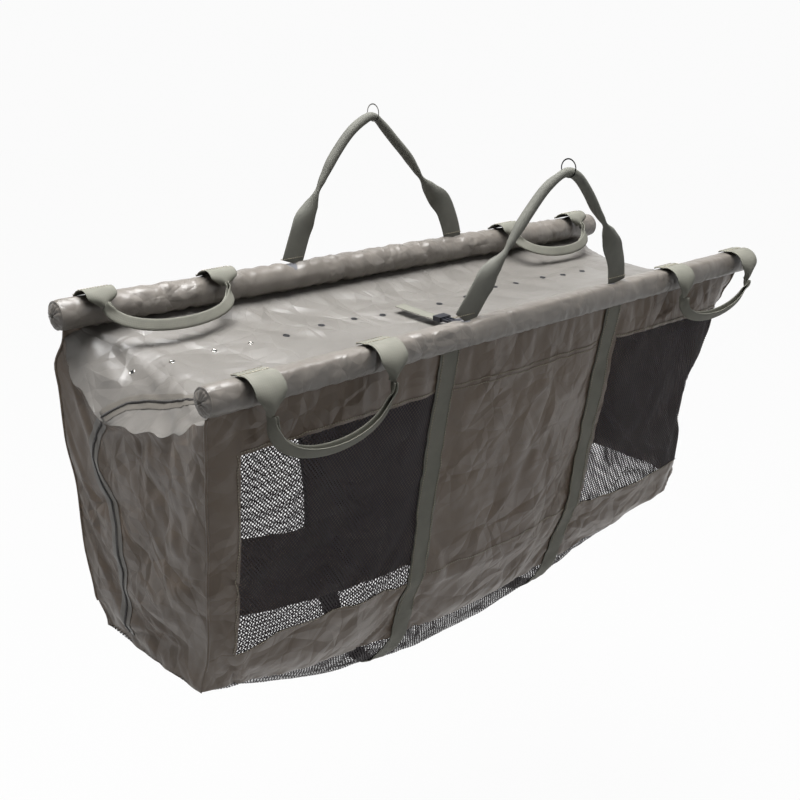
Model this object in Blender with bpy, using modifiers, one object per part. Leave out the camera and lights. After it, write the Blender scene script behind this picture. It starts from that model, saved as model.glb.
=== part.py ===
"""Weigh sling: a zipped nylon and mesh bag hung between two padded float bars.

All lengths are metres. X runs along the bars, Y from the front bar to the back bar, Z up.
Positions are worked out from the middle of the bag at the height of the bar axes. The
world origin is the point above it where the two rings are hooked up together.
"""

import math

import bmesh
import bpy
from mathutils import Vector

# Overall sizes
BAR_LENGTH = 1.200
BAR_SPACING = 0.364
HANG_DROP = 0.260
CORNER_DROP = 0.449
CORNER_INSET = 0.060
END_INSET = 0.018
SEAM_DROP = 0.545
SEAM_INSET = 0.095
BELLY_DROP = 0.635
BELLY_ROUNDNESS = 2.2

# Cloth, net, webbing and the clearance between touching pieces
GAP = 0.0003
CLOTH = 0.0016
NET_CORD = 0.0024
STRAP_WEB = 0.0018
THIN_WEB = 0.0014
OVERRUN = 0.004

# Float bars: cloth sleeve, foam float with a bore, stiffening pole, gathered end cap
FRONT_SLEEVE_RADIUS = 0.0220
BACK_SLEEVE_RADIUS = 0.0235
SLEEVE_WALL = 0.0012
POLE_RADIUS = 0.0060
POLE_SETBACK = 0.0020
END_CAP = 0.0030
ROUND_SIDES = 24

# Long walls: border, windows and centre panel, measured down the slope from the bar
WINDOW_TOP = 0.062
WINDOW_BOTTOM = 0.376
LEFT_WINDOW_INSET = 0.047
LEFT_WINDOW_END = -0.185
RIGHT_WINDOW_START = 0.243
RIGHT_WINDOW_INSET = 0.052
NET_CELLS_ACROSS = 7
NET_CELLS_DOWN = 6
BELLY_CELLS = 6
OUTER_BAYS = 4
MIDDLE_BAYS = 4

# Two webbing bands that run down the front, under the belly and up the back
BAND_WIDTH = 0.038
LEFT_BAND_X = -0.172
RIGHT_BAND_X = 0.214
BAND_TOP = 0.002

# Top: front strip, hinged lid with vents, rear strip, rounded shoulders at the ends
TOP_DROP = 0.030
SHOULDER_RADIUS = 0.0275
SHOULDER_STEPS = 5
LID_FOLD_Y = 0.068
LID_FOLD_GAP = 0.0012
LID_SAG = 0.0085
LID_ROWS = 6
LID_BAYS = 10
VENT_ROW_Y = 0.046
VENT_RADIUS = 0.0040
VENT_PITCH_SHARE = 0.0534
VENT_SIDES = 10
VENTS_LEFT = 7
VENTS_RIGHT = 8

# Zip: two halves with a coil along each inner edge, a slider and its pull
ZIP_FRONT_Y = -0.076
ZIP_SIDE_INSET = 0.034
ZIP_TURN_Y = 0.106
ZIP_FOOT_Y = 0.062
ZIP_FOOT_RISE = 0.012
ZIP_SLOT = 0.012
ZIP_PARTING = 0.0014
TAPE_WIDTH = 0.010
TAPE = 0.0008
COIL_WIDTH = 0.0022
COIL = 0.0018
ZIP_LID_STOP = 0.008
SLIDER_WIDTH = 0.0080
SLIDER_LENGTH = 0.012
SLIDER_PLATE = 0.0012
SLIDER_POST = 0.0008
SLIDER_RISE = 0.010
PULL_LENGTH = 0.026
PULL_WIDTH = 0.0060
PULL_TIP_WIDTH = 0.0085
PULL = 0.0014

# Tall carrying handles with their hanging rings
HANDLE_FOOT_WIDTH = 0.050
HANDLE_TOP_WIDTH = 0.014
HANDLE_FOOT = 0.0022
HANDLE_FOLDED = 0.0030
FRONT_FEET_X = (-0.145, 0.217)
BACK_FEET_X = (-0.175, 0.199)
FRONT_APEX = (0.069, 0.215)
BACK_APEX = (-0.003, 0.262)
HANDLE_BOW = 0.026
CROWN_HALF = 0.006
FOOT_ROUND_SHARE = 0.7
LEAF_END_SHARE = 0.24
FOLD_END_SHARE = 0.34
HANDLE_LEG_SHARES = (
    (0.00, 1.00, 0.00), (0.10, 1.00, 0.00), (0.24, 0.85, 0.05), (0.34, 0.25, 0.30),
    (0.50, 0.12, 0.62), (0.70, 0.06, 0.85), (0.93, 0.00, 1.00),
)
RING_RADIUS = 0.0139
RING_WIRE = 0.0011
RING_STEPS = 28
RING_WIRE_SIDES = 8

# Keeper loops sewn on the sleeves, and the grab straps they carry
KEEPER_WIDTH = 0.048
KEEPER_PINCH = 0.024
KEEPER_START = 66.0
KEEPER_LIFT_OFF = 112.0
KEEPER_STEPS = 9
FRONT_KEEPER_INSETS = (0.075, 0.282, 0.238, 0.040)
BACK_KEEPER_INSETS = (0.060, 0.270, 0.267, 0.070)
FRONT_KEEPER_END = 213.0
BACK_KEEPER_END = 160.0
FRONT_KEEPER_STAND = 0.0215
BACK_KEEPER_STAND = 0.0120
GRAB_WIDTH = 0.020
GRAB = 0.0030
FRONT_LEFT_GRAB_DEPTH = 0.072
FRONT_RIGHT_GRAB_DEPTH = 0.050
BACK_GRAB_DEPTH = 0.055
GRAB_STEPS = 14
GRAB_SQUARENESS = 0.8
FRONT_GRAB_LEAN = 0.0
BACK_GRAB_LEAN = 54.0

# Side-release buckle across the zip
BUCKLE_X = -0.060
BUCKLE_WIDTH = 0.024
BUCKLE_THICKNESS = 0.0080
BUCKLE_ZIP_SETBACK = 0.006
SOCKET_LENGTH = 0.030
SOCKET_DEPTH = 0.022
SOCKET_WALL = 0.0022
MALE_BODY = 0.016
PRONG_REACH = 0.0205
PRONG_WIDTH = 0.0036
PRONG_THICKNESS = 0.0040
PRONG_CLEARANCE = 0.0004
BUCKLE_WEB_WIDTH = 0.022
LID_TAB_LENGTH = 0.094
LID_TAB_START = 0.012
LID_TAB_BAYS = 4
BAR_TAB_OVERLAP = 0.008

# Worked out from the sizes above
HALF_BAR = BAR_LENGTH / 2
HALF_SPACING = BAR_SPACING / 2
HALF_BAG = HALF_BAR - END_INSET
HALF_CLOTH = CLOTH / 2
WALL_END = HALF_BAG + HALF_CLOTH
SLEEVE_RADIUS = {-1: FRONT_SLEEVE_RADIUS, 1: BACK_SLEEVE_RADIUS}
SHOULDER_X = HALF_BAG - SHOULDER_RADIUS
ZIP_SIDE_X = HALF_BAG - ZIP_SIDE_INSET
SHOULDER_Z = -TOP_DROP - SHOULDER_RADIUS
CLOTH_TOP = -TOP_DROP + HALF_CLOTH
HALF_SLOT = ZIP_SLOT / 2
LEFT_WINDOW_START = LEFT_WINDOW_INSET - HALF_BAG
RIGHT_WINDOW_END = HALF_BAG - RIGHT_WINDOW_INSET
VENT_PITCH = VENT_PITCH_SHARE * BAR_LENGTH
FLOOR_Z = -CORNER_DROP + NET_CORD / 2 + GAP


def clear_scene():
    """Remove whatever the scene starts with."""
    for item in list(bpy.data.objects):
        bpy.data.objects.remove(item, do_unlink=True)


def new_collection(name):
    """A collection linked to the scene."""
    group = bpy.data.collections.new(name)
    bpy.context.scene.collection.children.link(group)
    return group


def finish(name, colour, roughness, metallic=0.0):
    """A plain Principled material."""
    made = bpy.data.materials.new(name)
    made.use_nodes = True
    shader = made.node_tree.nodes["Principled BSDF"]
    shader.inputs["Base Color"].default_value = (*colour, 1.0)
    shader.inputs["Roughness"].default_value = roughness
    shader.inputs["Metallic"].default_value = metallic
    return made


clear_scene()
PARTS = new_collection("weigh_sling")
CUTTERS = new_collection("cutters")
NYLON = finish("coated_nylon", (0.105, 0.098, 0.078), 0.45)
WEBBING = finish("woven_webbing", (0.100, 0.104, 0.082), 0.80)
MESH = finish("black_mesh", (0.012, 0.010, 0.016), 0.70)
BLACK_WEB = finish("black_webbing", (0.010, 0.010, 0.012), 0.80)
FOAM = finish("closed_cell_foam", (0.080, 0.080, 0.085), 0.90)
POLE = finish("glass_fibre_pole", (0.045, 0.045, 0.045), 0.40)
ZIP = finish("nylon_coil", (0.015, 0.013, 0.012), 0.50)
STEEL = finish("bright_ring_wire", (0.620, 0.610, 0.590), 0.22, 1.0)
ACETAL = finish("moulded_acetal", (0.012, 0.014, 0.022), 0.40)

SLING = bpy.data.objects.new("sling_frame", None)
SLING.location = (0.0, 0.0, -HANG_DROP)
PARTS.objects.link(SLING)


def place(name, shape, look, origin=(0.0, 0.0, 0.0)):
    """Make an object from a bmesh drawn in the sling's frame, with its own origin."""
    bmesh.ops.recalc_face_normals(shape, faces=shape.faces[:])
    closed = all(edge.is_manifold for edge in shape.edges)
    if closed and shape.calc_volume(signed=True) < 0:
        bmesh.ops.reverse_faces(shape, faces=shape.faces[:])
    bmesh.ops.translate(shape, verts=shape.verts[:], vec=-Vector(origin))
    mesh = bpy.data.meshes.new(name)
    shape.to_mesh(mesh)
    shape.free()
    made = bpy.data.objects.new(name, mesh)
    made.data.materials.append(look)
    made.location = origin
    made.parent = SLING
    PARTS.objects.link(made)
    return made


def thicken(made, depth, offset=0.0):
    """Give an open surface its thickness."""
    wall = made.modifiers.new("thickness", "SOLIDIFY")
    wall.thickness = depth
    wall.offset = offset
    wall.use_even_offset = True
    return made


def grid(rows):
    """A bmesh surface through rows of points."""
    shape = bmesh.new()
    lines = [[shape.verts.new(point) for point in row] for row in rows]
    for low, high in zip(lines, lines[1:]):
        for step in range(len(low) - 1):
            shape.faces.new((low[step], low[step + 1], high[step + 1], high[step]))
    return shape


def sheet(name, rows, look, depth=CLOTH, origin=(0.0, 0.0, 0.0)):
    """Cloth or webbing that follows rows of points along its middle surface."""
    return thicken(place(name, grid(rows), look, origin), depth)


def net(name, rows, look):
    """A net whose cords follow the grid lines of rows of points."""
    made = place(name, grid(rows), look)
    cords = made.modifiers.new("cords", "WIREFRAME")
    cords.thickness = NET_CORD
    cords.use_boundary = True
    cords.use_replace = True
    cords.use_even_offset = True
    cords.use_relative_offset = False
    return made


def panel(name, corners, look, depth=CLOTH, origin=(0.0, 0.0, 0.0)):
    """A flat piece cut to an outline."""
    shape = bmesh.new()
    shape.faces.new([shape.verts.new(corner) for corner in corners])
    return thicken(place(name, shape, look, origin), depth)


def loft(name, rings, look, origin=(0.0, 0.0, 0.0)):
    """A closed solid through rings that have the same number of points."""
    shape = bmesh.new()
    loops = [[shape.verts.new(point) for point in ring] for ring in rings]
    count = len(loops[0])
    for low, high in zip(loops, loops[1:]):
        for step in range(count):
            after = (step + 1) % count
            shape.faces.new((low[step], low[after], high[after], high[step]))
    shape.faces.new(loops[0])
    shape.faces.new(loops[-1])
    bmesh.ops.triangulate(shape, faces=shape.faces[:])
    return place(name, shape, look, origin)


def flat_ring(centre, side, normal, width, depth):
    """The four corners of a strap's section."""
    across = side.normalized() * width / 2
    out = normal.normalized() * depth / 2
    return [centre - across - out, centre + across - out, centre + across + out, centre - across + out]


def block(low, high):
    """A bmesh box between two corners."""
    shape = bmesh.new()
    bmesh.ops.create_cube(shape, size=1.0)
    size = Vector(high) - Vector(low)
    bmesh.ops.scale(shape, verts=shape.verts[:], vec=size)
    bmesh.ops.translate(shape, verts=shape.verts[:], vec=(Vector(low) + Vector(high)) / 2)
    return shape


def round_bar(radius, length, centre, capped=True):
    """A bmesh cylinder along X."""
    shape = bmesh.new()
    bmesh.ops.create_cone(
        shape, cap_ends=capped, segments=ROUND_SIDES, radius1=radius, radius2=radius, depth=length
    )
    for vert in shape.verts:
        vert.co = Vector((vert.co.z, vert.co.x, vert.co.y)) + Vector(centre)
    return shape


def cutter(name, shape):
    """An object that only cuts others."""
    made = place(name, shape, ZIP)
    PARTS.objects.unlink(made)
    CUTTERS.objects.link(made)
    made.hide_render = True
    made.display_type = "WIRE"
    return made


def combine(made, tool, operation):
    """Cut or join a solid with a tool object."""
    step = made.modifiers.new(tool.name, "BOOLEAN")
    step.operation = operation
    step.object = tool
    step.solver = "EXACT"


def wall_slope(side):
    """Top point, downward direction and length of a long wall's slope in Y and Z."""
    top = Vector((side * HALF_SPACING, -SLEEVE_RADIUS[side] - GAP))
    corner = Vector((side * (HALF_SPACING - CORNER_INSET), -CORNER_DROP))
    return top, (corner - top).normalized(), (corner - top).length


def wall_point(side, x, down):
    """A point on the flat part of a long wall."""
    top, slope, _ = wall_slope(side)
    spot = top + slope * down
    return Vector((x, spot.x, spot.y))


def wall_y(side, z):
    """Where the inner face of a long wall is at a height, with the seam clearance."""
    top, slope, _ = wall_slope(side)
    middle = top.x + slope.x * (z - top.y) / slope.y
    return middle - side * (HALF_CLOTH / abs(slope.y) + GAP)


def bulge(x):
    """How far the belly sags at a place along the bag, from 0 at the ends to 1 in the middle."""
    return max(0.0, 1.0 - abs(x / HALF_BAG) ** BELLY_ROUNDNESS)


def seam_point(side, x, inside=0.0):
    """A point on the bottom seam of a long wall."""
    sag = bulge(x)
    inset = CORNER_INSET + (SEAM_INSET - CORNER_INSET) * sag
    drop = CORNER_DROP + (SEAM_DROP - CORNER_DROP) * sag
    return Vector((x, side * (HALF_SPACING - inset - inside), -drop))


def belly_point(x, across_share, inside):
    """A point on the bottom net, from -1 at the front seam to 1 at the back seam."""
    edge = seam_point(1, x, inside)
    sag = (BELLY_DROP - SEAM_DROP) * bulge(x) * (1.0 - across_share ** 2)
    return Vector((x, edge.y * across_share, edge.z - sag))


def spread(start, end, bays):
    """Evenly spaced places from start up to but not including end."""
    return [start + (end - start) * step / bays for step in range(bays)]


def bay_lines():
    """The places along the bag where its curved pieces have their grid lines."""
    left = (LEFT_BAND_X - BAND_WIDTH / 2, LEFT_BAND_X + BAND_WIDTH / 2)
    right = (RIGHT_BAND_X - BAND_WIDTH / 2, RIGHT_BAND_X + BAND_WIDTH / 2)
    lines = spread(-WALL_END, left[0], OUTER_BAYS) + [left[0]]
    lines += spread(left[1], right[0], MIDDLE_BAYS) + [right[0]]
    lines += spread(right[1], WALL_END, OUTER_BAYS) + [WALL_END]
    return lines


def belly_shares():
    """Where the bottom net's lengthwise cords lie across the bag."""
    return [-1.0 + 2.0 * step / BELLY_CELLS for step in range(BELLY_CELLS + 1)]


def build_bar(word, side):
    """A float bar: sleeve, foam float, pole and the two gathered ends."""
    radius = SLEEVE_RADIUS[side]
    centre = (0.0, side * HALF_SPACING, 0.0)
    sleeve = place(f"{word}_float_sleeve", round_bar(radius, BAR_LENGTH, centre, False), NYLON)
    thicken(sleeve, SLEEVE_WALL, -1.0)
    foam_radius = radius - SLEEVE_WALL - GAP
    foam = place(f"{word}_foam_float", round_bar(foam_radius, BAR_LENGTH, centre, False), FOAM)
    thicken(foam, foam_radius - POLE_RADIUS - GAP, -1.0)
    pole_length = BAR_LENGTH - 2 * POLE_SETBACK
    place(f"{word}_pole", round_bar(POLE_RADIUS, pole_length, centre), POLE)
    for end_word, end in (("left", -1), ("right", 1)):
        middle = (end * (HALF_BAR + GAP + END_CAP / 2), side * HALF_SPACING, 0.0)
        place(f"{word}_sleeve_end_{end_word}", round_bar(radius, END_CAP, middle), NYLON)


def build_wall(word, side):
    """A long wall: border, two mesh windows, centre panel and the curved bottom band."""
    half_seam = GAP / 2
    outline = [
        (-WALL_END, 0.0),
        (WALL_END, 0.0),
        (WALL_END, WINDOW_BOTTOM),
        (RIGHT_WINDOW_END + half_seam, WINDOW_BOTTOM),
        (RIGHT_WINDOW_END + half_seam, WINDOW_TOP),
        (LEFT_WINDOW_START - half_seam, WINDOW_TOP),
        (LEFT_WINDOW_START - half_seam, WINDOW_BOTTOM),
        (-WALL_END, WINDOW_BOTTOM),
    ]
    corners = [wall_point(side, x, down) for x, down in outline]
    panel(f"{word}_wall_border", corners, NYLON)
    top = WINDOW_TOP + GAP
    low = WINDOW_BOTTOM - GAP
    across = (LEFT_WINDOW_END + half_seam, RIGHT_WINDOW_START - half_seam)
    corners = [wall_point(side, x, down) for x, down in zip(
        (across[0], across[1], across[1], across[0]), (top, top, WINDOW_BOTTOM, WINDOW_BOTTOM)
    )]
    panel(f"{word}_centre_panel", corners, NYLON)
    edge = NET_CORD / 2 + half_seam
    windows = (
        ("left", LEFT_WINDOW_START, LEFT_WINDOW_END),
        ("right", RIGHT_WINDOW_START, RIGHT_WINDOW_END),
    )
    for place_word, start, end in windows:
        downs = spread(WINDOW_TOP + edge, low - edge, NET_CELLS_DOWN) + [low - edge]
        places = spread(start + edge, end - edge, NET_CELLS_ACROSS) + [end - edge]
        rows = [[wall_point(side, x, down) for x in places] for down in downs]
        net(f"{word}_mesh_{place_word}", rows, MESH)
    lines = bay_lines()
    upper = [wall_point(side, x, WINDOW_BOTTOM + GAP) for x in lines]
    lower = [seam_point(side, x) for x in lines]
    sheet(f"{word}_bottom_band", [upper, lower], NYLON)


def build_belly():
    """The sagging net floor and the two webbing bands round the bag."""
    lines = bay_lines()
    inside = HALF_CLOTH + GAP + NET_CORD / 2
    rows = [[belly_point(x, share, inside) for x in lines] for share in belly_shares()]
    net("belly_net", rows, MESH)
    for word, middle in (("left", LEFT_BAND_X), ("right", RIGHT_BAND_X)):
        edges = (middle - BAND_WIDTH / 2, middle + BAND_WIDTH / 2)
        columns = [offset_line(girth_line(x), NET_CORD / 2 + GAP + GAP + STRAP_WEB / 2) for x in edges]
        sheet(f"carry_band_{word}", columns, WEBBING, STRAP_WEB)


def girth_line(x):
    """The bag's outer line round its girth, from the front bar under to the back bar."""
    inside = HALF_CLOTH + GAP + NET_CORD / 2
    front = [wall_point(-1, x, BAND_TOP), wall_point(-1, x, WINDOW_BOTTOM), seam_point(-1, x)]
    under = [belly_point(x, share, inside) for share in belly_shares()[1:-1]]
    back = [seam_point(1, x), wall_point(1, x, WINDOW_BOTTOM), wall_point(1, x, BAND_TOP)]
    return front + under + back


def offset_line(points, distance):
    """Move a line in a YZ plane outwards, to its right as it runs, keeping its corners."""
    moved = []
    normals = []
    for here, after in zip(points, points[1:]):
        way = (after - here).normalized()
        normals.append(Vector((0.0, way.z, -way.y)))
    for index, point in enumerate(points):
        before = normals[max(index - 1, 0)]
        after = normals[min(index, len(normals) - 1)]
        both = (before + after).normalized()
        moved.append(point + both * distance / both.dot(after))
    return moved


def split_y(z):
    """Where the zip runs down the ends, at a height."""
    share = (z - SHOULDER_Z) / (FLOOR_Z - SHOULDER_Z)
    return ZIP_TURN_Y + (ZIP_FOOT_Y - ZIP_TURN_Y) * max(0.0, share)


def end_profile(end):
    """Heights down an end panel with their X: round shoulder, then straight down."""
    steps = [math.pi / 2 * step / SHOULDER_STEPS for step in range(SHOULDER_STEPS + 1)]
    points = [
        (end * (SHOULDER_X + SHOULDER_RADIUS * math.sin(turn)),
         SHOULDER_Z + SHOULDER_RADIUS * math.cos(turn))
        for turn in steps
    ]
    points.append((end * HALF_BAG, FLOOR_Z))
    return points


def build_ends():
    """Each end's front panel and the narrower strip behind the zip."""
    for word, end in (("left", -1), ("right", 1)):
        fore = []
        rear = []
        for x, z in end_profile(end):
            zip_y = split_y(z)
            fore.append([Vector((x, wall_y(-1, z), z)), Vector((x, zip_y - HALF_SLOT, z))])
            rear.append([Vector((x, zip_y + HALF_SLOT, z)), Vector((x, wall_y(1, z), z))])
        sheet(f"{word}_end_panel", fore, NYLON)
        sheet(f"{word}_end_rear_strip", rear, NYLON)


def vent_places():
    """The vents' places along the lid, one left out where the buckle's tab lies."""
    steps = list(range(-VENTS_LEFT, 0)) + list(range(1, VENTS_RIGHT + 1))
    middle = BUCKLE_X + VENT_PITCH / 2
    return [middle + step * VENT_PITCH for step in steps]


def lid_sag(x, y):
    """How far the lid sags between the zip and its fold."""
    start = ZIP_FRONT_Y + HALF_SLOT
    share = min(max((y - start) / (LID_FOLD_Y - start), 0.0), 1.0)
    along = 1.0 - abs(x / (ZIP_SIDE_X - HALF_SLOT)) ** BELLY_ROUNDNESS
    return LID_SAG * 4.0 * share * (1.0 - share) * max(0.0, along)


def build_top():
    """Front strip, lid and rear strip of the bag's top."""
    z = -TOP_DROP
    outer = SHOULDER_X - GAP
    front = wall_y(-1, z)
    seam = ZIP_FRONT_Y - HALF_SLOT
    corners = [(-outer, front, z), (outer, front, z), (outer, seam, z), (-outer, seam, z)]
    panel("front_top_strip", corners, NYLON)
    inner = ZIP_SIDE_X - HALF_SLOT
    start = ZIP_FRONT_Y + HALF_SLOT
    lines = spread(-inner, inner, LID_BAYS) + [inner]
    rows = spread(start, LID_FOLD_Y, LID_ROWS) + [LID_FOLD_Y]
    surface = grid([[Vector((x, y, z - lid_sag(x, y))) for x in lines] for y in rows])
    bmesh.ops.triangulate(surface, faces=surface.faces[:])
    lid = thicken(place("lid_panel", surface, NYLON, (0.0, LID_FOLD_Y, z)), CLOTH)
    holes = bmesh.new()
    for x in vent_places():
        drilled = bmesh.ops.create_cone(
            holes, cap_ends=True, segments=VENT_SIDES, radius1=VENT_RADIUS, radius2=VENT_RADIUS,
            depth=CLOTH + OVERRUN,
        )
        bmesh.ops.translate(holes, verts=drilled["verts"], vec=(x, VENT_ROW_Y, z - lid_sag(x, VENT_ROW_Y)))
    combine(lid, cutter("vent_holes", holes), "DIFFERENCE")
    rear = LID_FOLD_Y + LID_FOLD_GAP
    turn = ZIP_TURN_Y + HALF_SLOT
    back = wall_y(1, z)
    outline = [
        (-inner, rear), (inner, rear), (inner, turn), (outer, turn),
        (outer, back), (-outer, back), (-outer, turn), (-inner, turn),
    ]
    panel("rear_top_strip", [(x, y, z) for x, y in outline], NYLON)


def zip_route():
    """The zip's line over the bag with the outward normal at each point."""
    left = [(-ZIP_SIDE_X, ZIP_TURN_Y), (-ZIP_SIDE_X, ZIP_FRONT_Y)]
    top = [(x, y) for x, y in left] + [(-x, y) for x, y in reversed(left)]
    route = [(Vector((x, y, -TOP_DROP)), Vector((0.0, 0.0, 1.0))) for x, y in top]
    sides = {}
    for end in (-1, 1):
        run = []
        for step in range(SHOULDER_STEPS + 1):
            turn = math.pi / 2 * step / SHOULDER_STEPS
            out = Vector((end * math.sin(turn), 0.0, math.cos(turn)))
            spot = Vector((end * SHOULDER_X, ZIP_TURN_Y, SHOULDER_Z)) + out * SHOULDER_RADIUS
            run.append((spot, out))
        foot_z = FLOOR_Z + ZIP_FOOT_RISE
        run.append((Vector((end * HALF_BAG, split_y(foot_z), foot_z)), Vector((end, 0.0, 0.0))))
        sides[end] = run
    return list(reversed(sides[-1])) + route + sides[1]


def zip_section(hand, parting, widest):
    """The tape with its coil, as offsets across and out from the zip's line."""
    near = parting / 2
    base = HALF_CLOTH + GAP
    shape = [
        (near, base), (near + widest, base), (near + widest, base + TAPE),
        (near + COIL_WIDTH, base + TAPE), (near + COIL_WIDTH, base + COIL), (near, base + COIL),
    ]
    return [(hand * across, out) for across, out in shape]


def zip_half(name, route, hand, origin=(0.0, 0.0, 0.0)):
    """Sweep one half of the zip along a stretch of its line."""
    rings = []
    ways = [(after[0] - here[0]).normalized() for here, after in zip(route, route[1:])]
    for index, (spot, out) in enumerate(route):
        before = ways[max(index - 1, 0)].cross(out).normalized()
        after = ways[min(index, len(ways) - 1)].cross(out).normalized()
        both = (before + after).normalized()
        side = both / both.dot(after)
        section = zip_section(hand, ZIP_PARTING, TAPE_WIDTH)
        rings.append([spot + side * across + out * up for across, up in section])
    return loft(name, rings, ZIP, origin)


def build_zip():
    """The zip's halves: one round the walls, one on the lid, one on each rear strip."""
    route = zip_route()
    zip_half("zip_wall_half", route, 1)
    up = Vector((0.0, 0.0, 1.0))
    fold = LID_FOLD_Y - ZIP_LID_STOP
    corner = len(route) // 2
    lid_left = (Vector((-ZIP_SIDE_X, fold, -TOP_DROP)), up)
    lid_right = (Vector((ZIP_SIDE_X, fold, -TOP_DROP)), up)
    lid_route = [lid_left] + route[corner - 1:corner + 1] + [lid_right]
    zip_half("zip_lid_half", lid_route, -1, (0.0, LID_FOLD_Y, -TOP_DROP))
    behind = LID_FOLD_Y + LID_FOLD_GAP
    rear_left = (Vector((-ZIP_SIDE_X, behind, -TOP_DROP)), up)
    rear_right = (Vector((ZIP_SIDE_X, behind, -TOP_DROP)), up)
    zip_half("zip_rear_half_left", route[:corner - 1] + [rear_left], -1)
    zip_half("zip_rear_half_right", [rear_right] + route[corner + 1:], -1)


def slider_axes():
    """Where the slider rests on the right end, the way it runs up, and the way across."""
    foot = zip_route()[-1][0]
    head = Vector((HALF_BAG, split_y(SHOULDER_Z), SHOULDER_Z))
    way = (head - foot).normalized()
    return foot + way * (SLIDER_RISE + SLIDER_LENGTH / 2), way, Vector((1.0, 0.0, 0.0)).cross(way)


def build_slider():
    """Slider with plates inside and outside the zip, and its hanging pull."""
    middle, way, across = slider_axes()
    out = Vector((1.0, 0.0, 0.0))
    inner = HALF_CLOTH
    outer = HALF_CLOTH + GAP + COIL + GAP
    half = SLIDER_WIDTH / 2
    post = SLIDER_POST / 2
    section = [
        (-half, inner - SLIDER_PLATE), (half, inner - SLIDER_PLATE), (half, inner), (post, inner),
        (post, outer), (half, outer), (half, outer + SLIDER_PLATE), (-half, outer + SLIDER_PLATE),
        (-half, outer), (-post, outer), (-post, inner), (-half, inner),
    ]
    rings = []
    for end in (-1, 1):
        spot = middle + way * end * SLIDER_LENGTH / 2
        rings.append([spot + across * side + out * up for side, up in section])
    loft("zip_slider", rings, STEEL, middle)
    hinge = middle + way * SLIDER_LENGTH / 4 + out * (outer + SLIDER_PLATE + GAP + PULL / 2)
    rings = []
    rounded = PULL * FOOT_ROUND_SHARE
    stations = (
        (-rounded / 2, rounded, PULL_WIDTH), (0.0, PULL, PULL_WIDTH), (PULL_LENGTH, PULL, PULL_TIP_WIDTH),
    )
    for down, depth, width in stations:
        rings.append(flat_ring(hinge - way * down, across, out, width, depth))
    loft("zip_pull", rings, STEEL, hinge)


def handle_leg(foot_x, apex, side_y, base_z):
    """Stations of a tall handle's leg going up: place, width direction, width and depth."""
    foot = Vector((foot_x, side_y, base_z))
    top = Vector((apex[0] + math.copysign(CROWN_HALF, foot_x - apex[0]), side_y, apex[1]))
    way = (top - foot).normalized()
    slope_side = Vector((way.z, 0.0, -way.x))
    bow = slope_side * math.copysign(HANDLE_BOW, -way.x)
    foot_side = Vector((1.0, 0.0, 0.0))
    rounded_end = Vector((0.0, 0.0, HANDLE_FOOT * FOOT_ROUND_SHARE / 2))
    stations = [(foot - rounded_end, foot_side, HANDLE_FOOT_WIDTH, HANDLE_FOOT * FOOT_ROUND_SHARE)]
    for along, width_share, twist_share in HANDLE_LEG_SHARES:
        spot = foot.lerp(top, along) + bow * math.sin(math.pi * along)
        flat = foot_side.lerp(slope_side, min(1.0, along / LEAF_END_SHARE)).normalized()
        turn = twist_share * math.pi / 2
        side = flat * math.cos(turn) + Vector((0.0, math.sin(turn), 0.0))
        width = HANDLE_TOP_WIDTH + (HANDLE_FOOT_WIDTH - HANDLE_TOP_WIDTH) * width_share
        depth = HANDLE_FOOT + (HANDLE_FOLDED - HANDLE_FOOT) * min(1.0, along / FOLD_END_SHARE)
        stations.append((spot, side, width, depth))
    return stations


def handle_rings(stations, way_sign):
    """Sections through a leg's stations, whose depth lies square to the way they run."""
    rings = []
    for index, (spot, side, width, depth) in enumerate(stations):
        before = stations[max(index - 1, 0)][0]
        after = stations[min(index + 1, len(stations) - 1)][0]
        way = (after - before).normalized() * way_sign
        normal = way.cross(side)
        if index < 2:
            normal = Vector((0.0, math.copysign(1.0, normal.y), 0.0))
        rings.append(flat_ring(spot, side, normal, width, depth))
    return rings


def build_handle(word, side, feet_x, apex):
    """A tall handle that swings on its feet, and the ring that hangs it up."""
    side_y = side * HALF_SPACING
    base_z = SLEEVE_RADIUS[side] + GAP + HANDLE_FOOT / 2
    crown = Vector((apex[0], side_y, apex[1]))
    rings = handle_rings(handle_leg(feet_x[0], apex, side_y, base_z), 1.0)
    for end in (-1, 1):
        spot = crown + Vector((end * CROWN_HALF, 0.0, 0.0))
        across, up = Vector((0.0, 1.0, 0.0)), Vector((0.0, 0.0, 1.0))
        rings.append(flat_ring(spot, across, up, HANDLE_TOP_WIDTH, HANDLE_FOLDED))
    rings += reversed(handle_rings(handle_leg(feet_x[1], apex, side_y, base_z), -1.0))
    loft(f"{word}_handle", rings, WEBBING, (0.0, side_y, base_z))
    inner = RING_RADIUS - RING_WIRE - GAP
    rise = math.sqrt(inner ** 2 - (HANDLE_TOP_WIDTH / 2) ** 2) - HANDLE_FOLDED / 2
    bpy.ops.mesh.primitive_torus_add(
        major_segments=RING_STEPS, minor_segments=RING_WIRE_SIDES,
        major_radius=RING_RADIUS, minor_radius=RING_WIRE,
        location=crown + Vector((0.0, 0.0, rise)), rotation=(0.0, math.pi / 2, 0.0),
    )
    made = bpy.context.object
    made.name = f"{word}_ring"
    made.data.name = made.name
    made.data.materials.append(STEEL)
    made.parent = SLING
    for group in list(made.users_collection):
        group.objects.unlink(made)
    PARTS.objects.link(made)


def keeper_spot(side, degrees, end_degrees, stand):
    """A place on a keeper's middle line round its bar, and the way out there."""
    share = max(0.0, (degrees - KEEPER_LIFT_OFF) / (end_degrees - KEEPER_LIFT_OFF))
    reach = SLEEVE_RADIUS[side] + GAP + STRAP_WEB / 2 + stand * share
    turn = math.radians(degrees)
    out = Vector((0.0, math.cos(turn), math.sin(turn)))
    return Vector((0.0, side * HALF_SPACING, 0.0)) + out * reach, out


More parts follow.
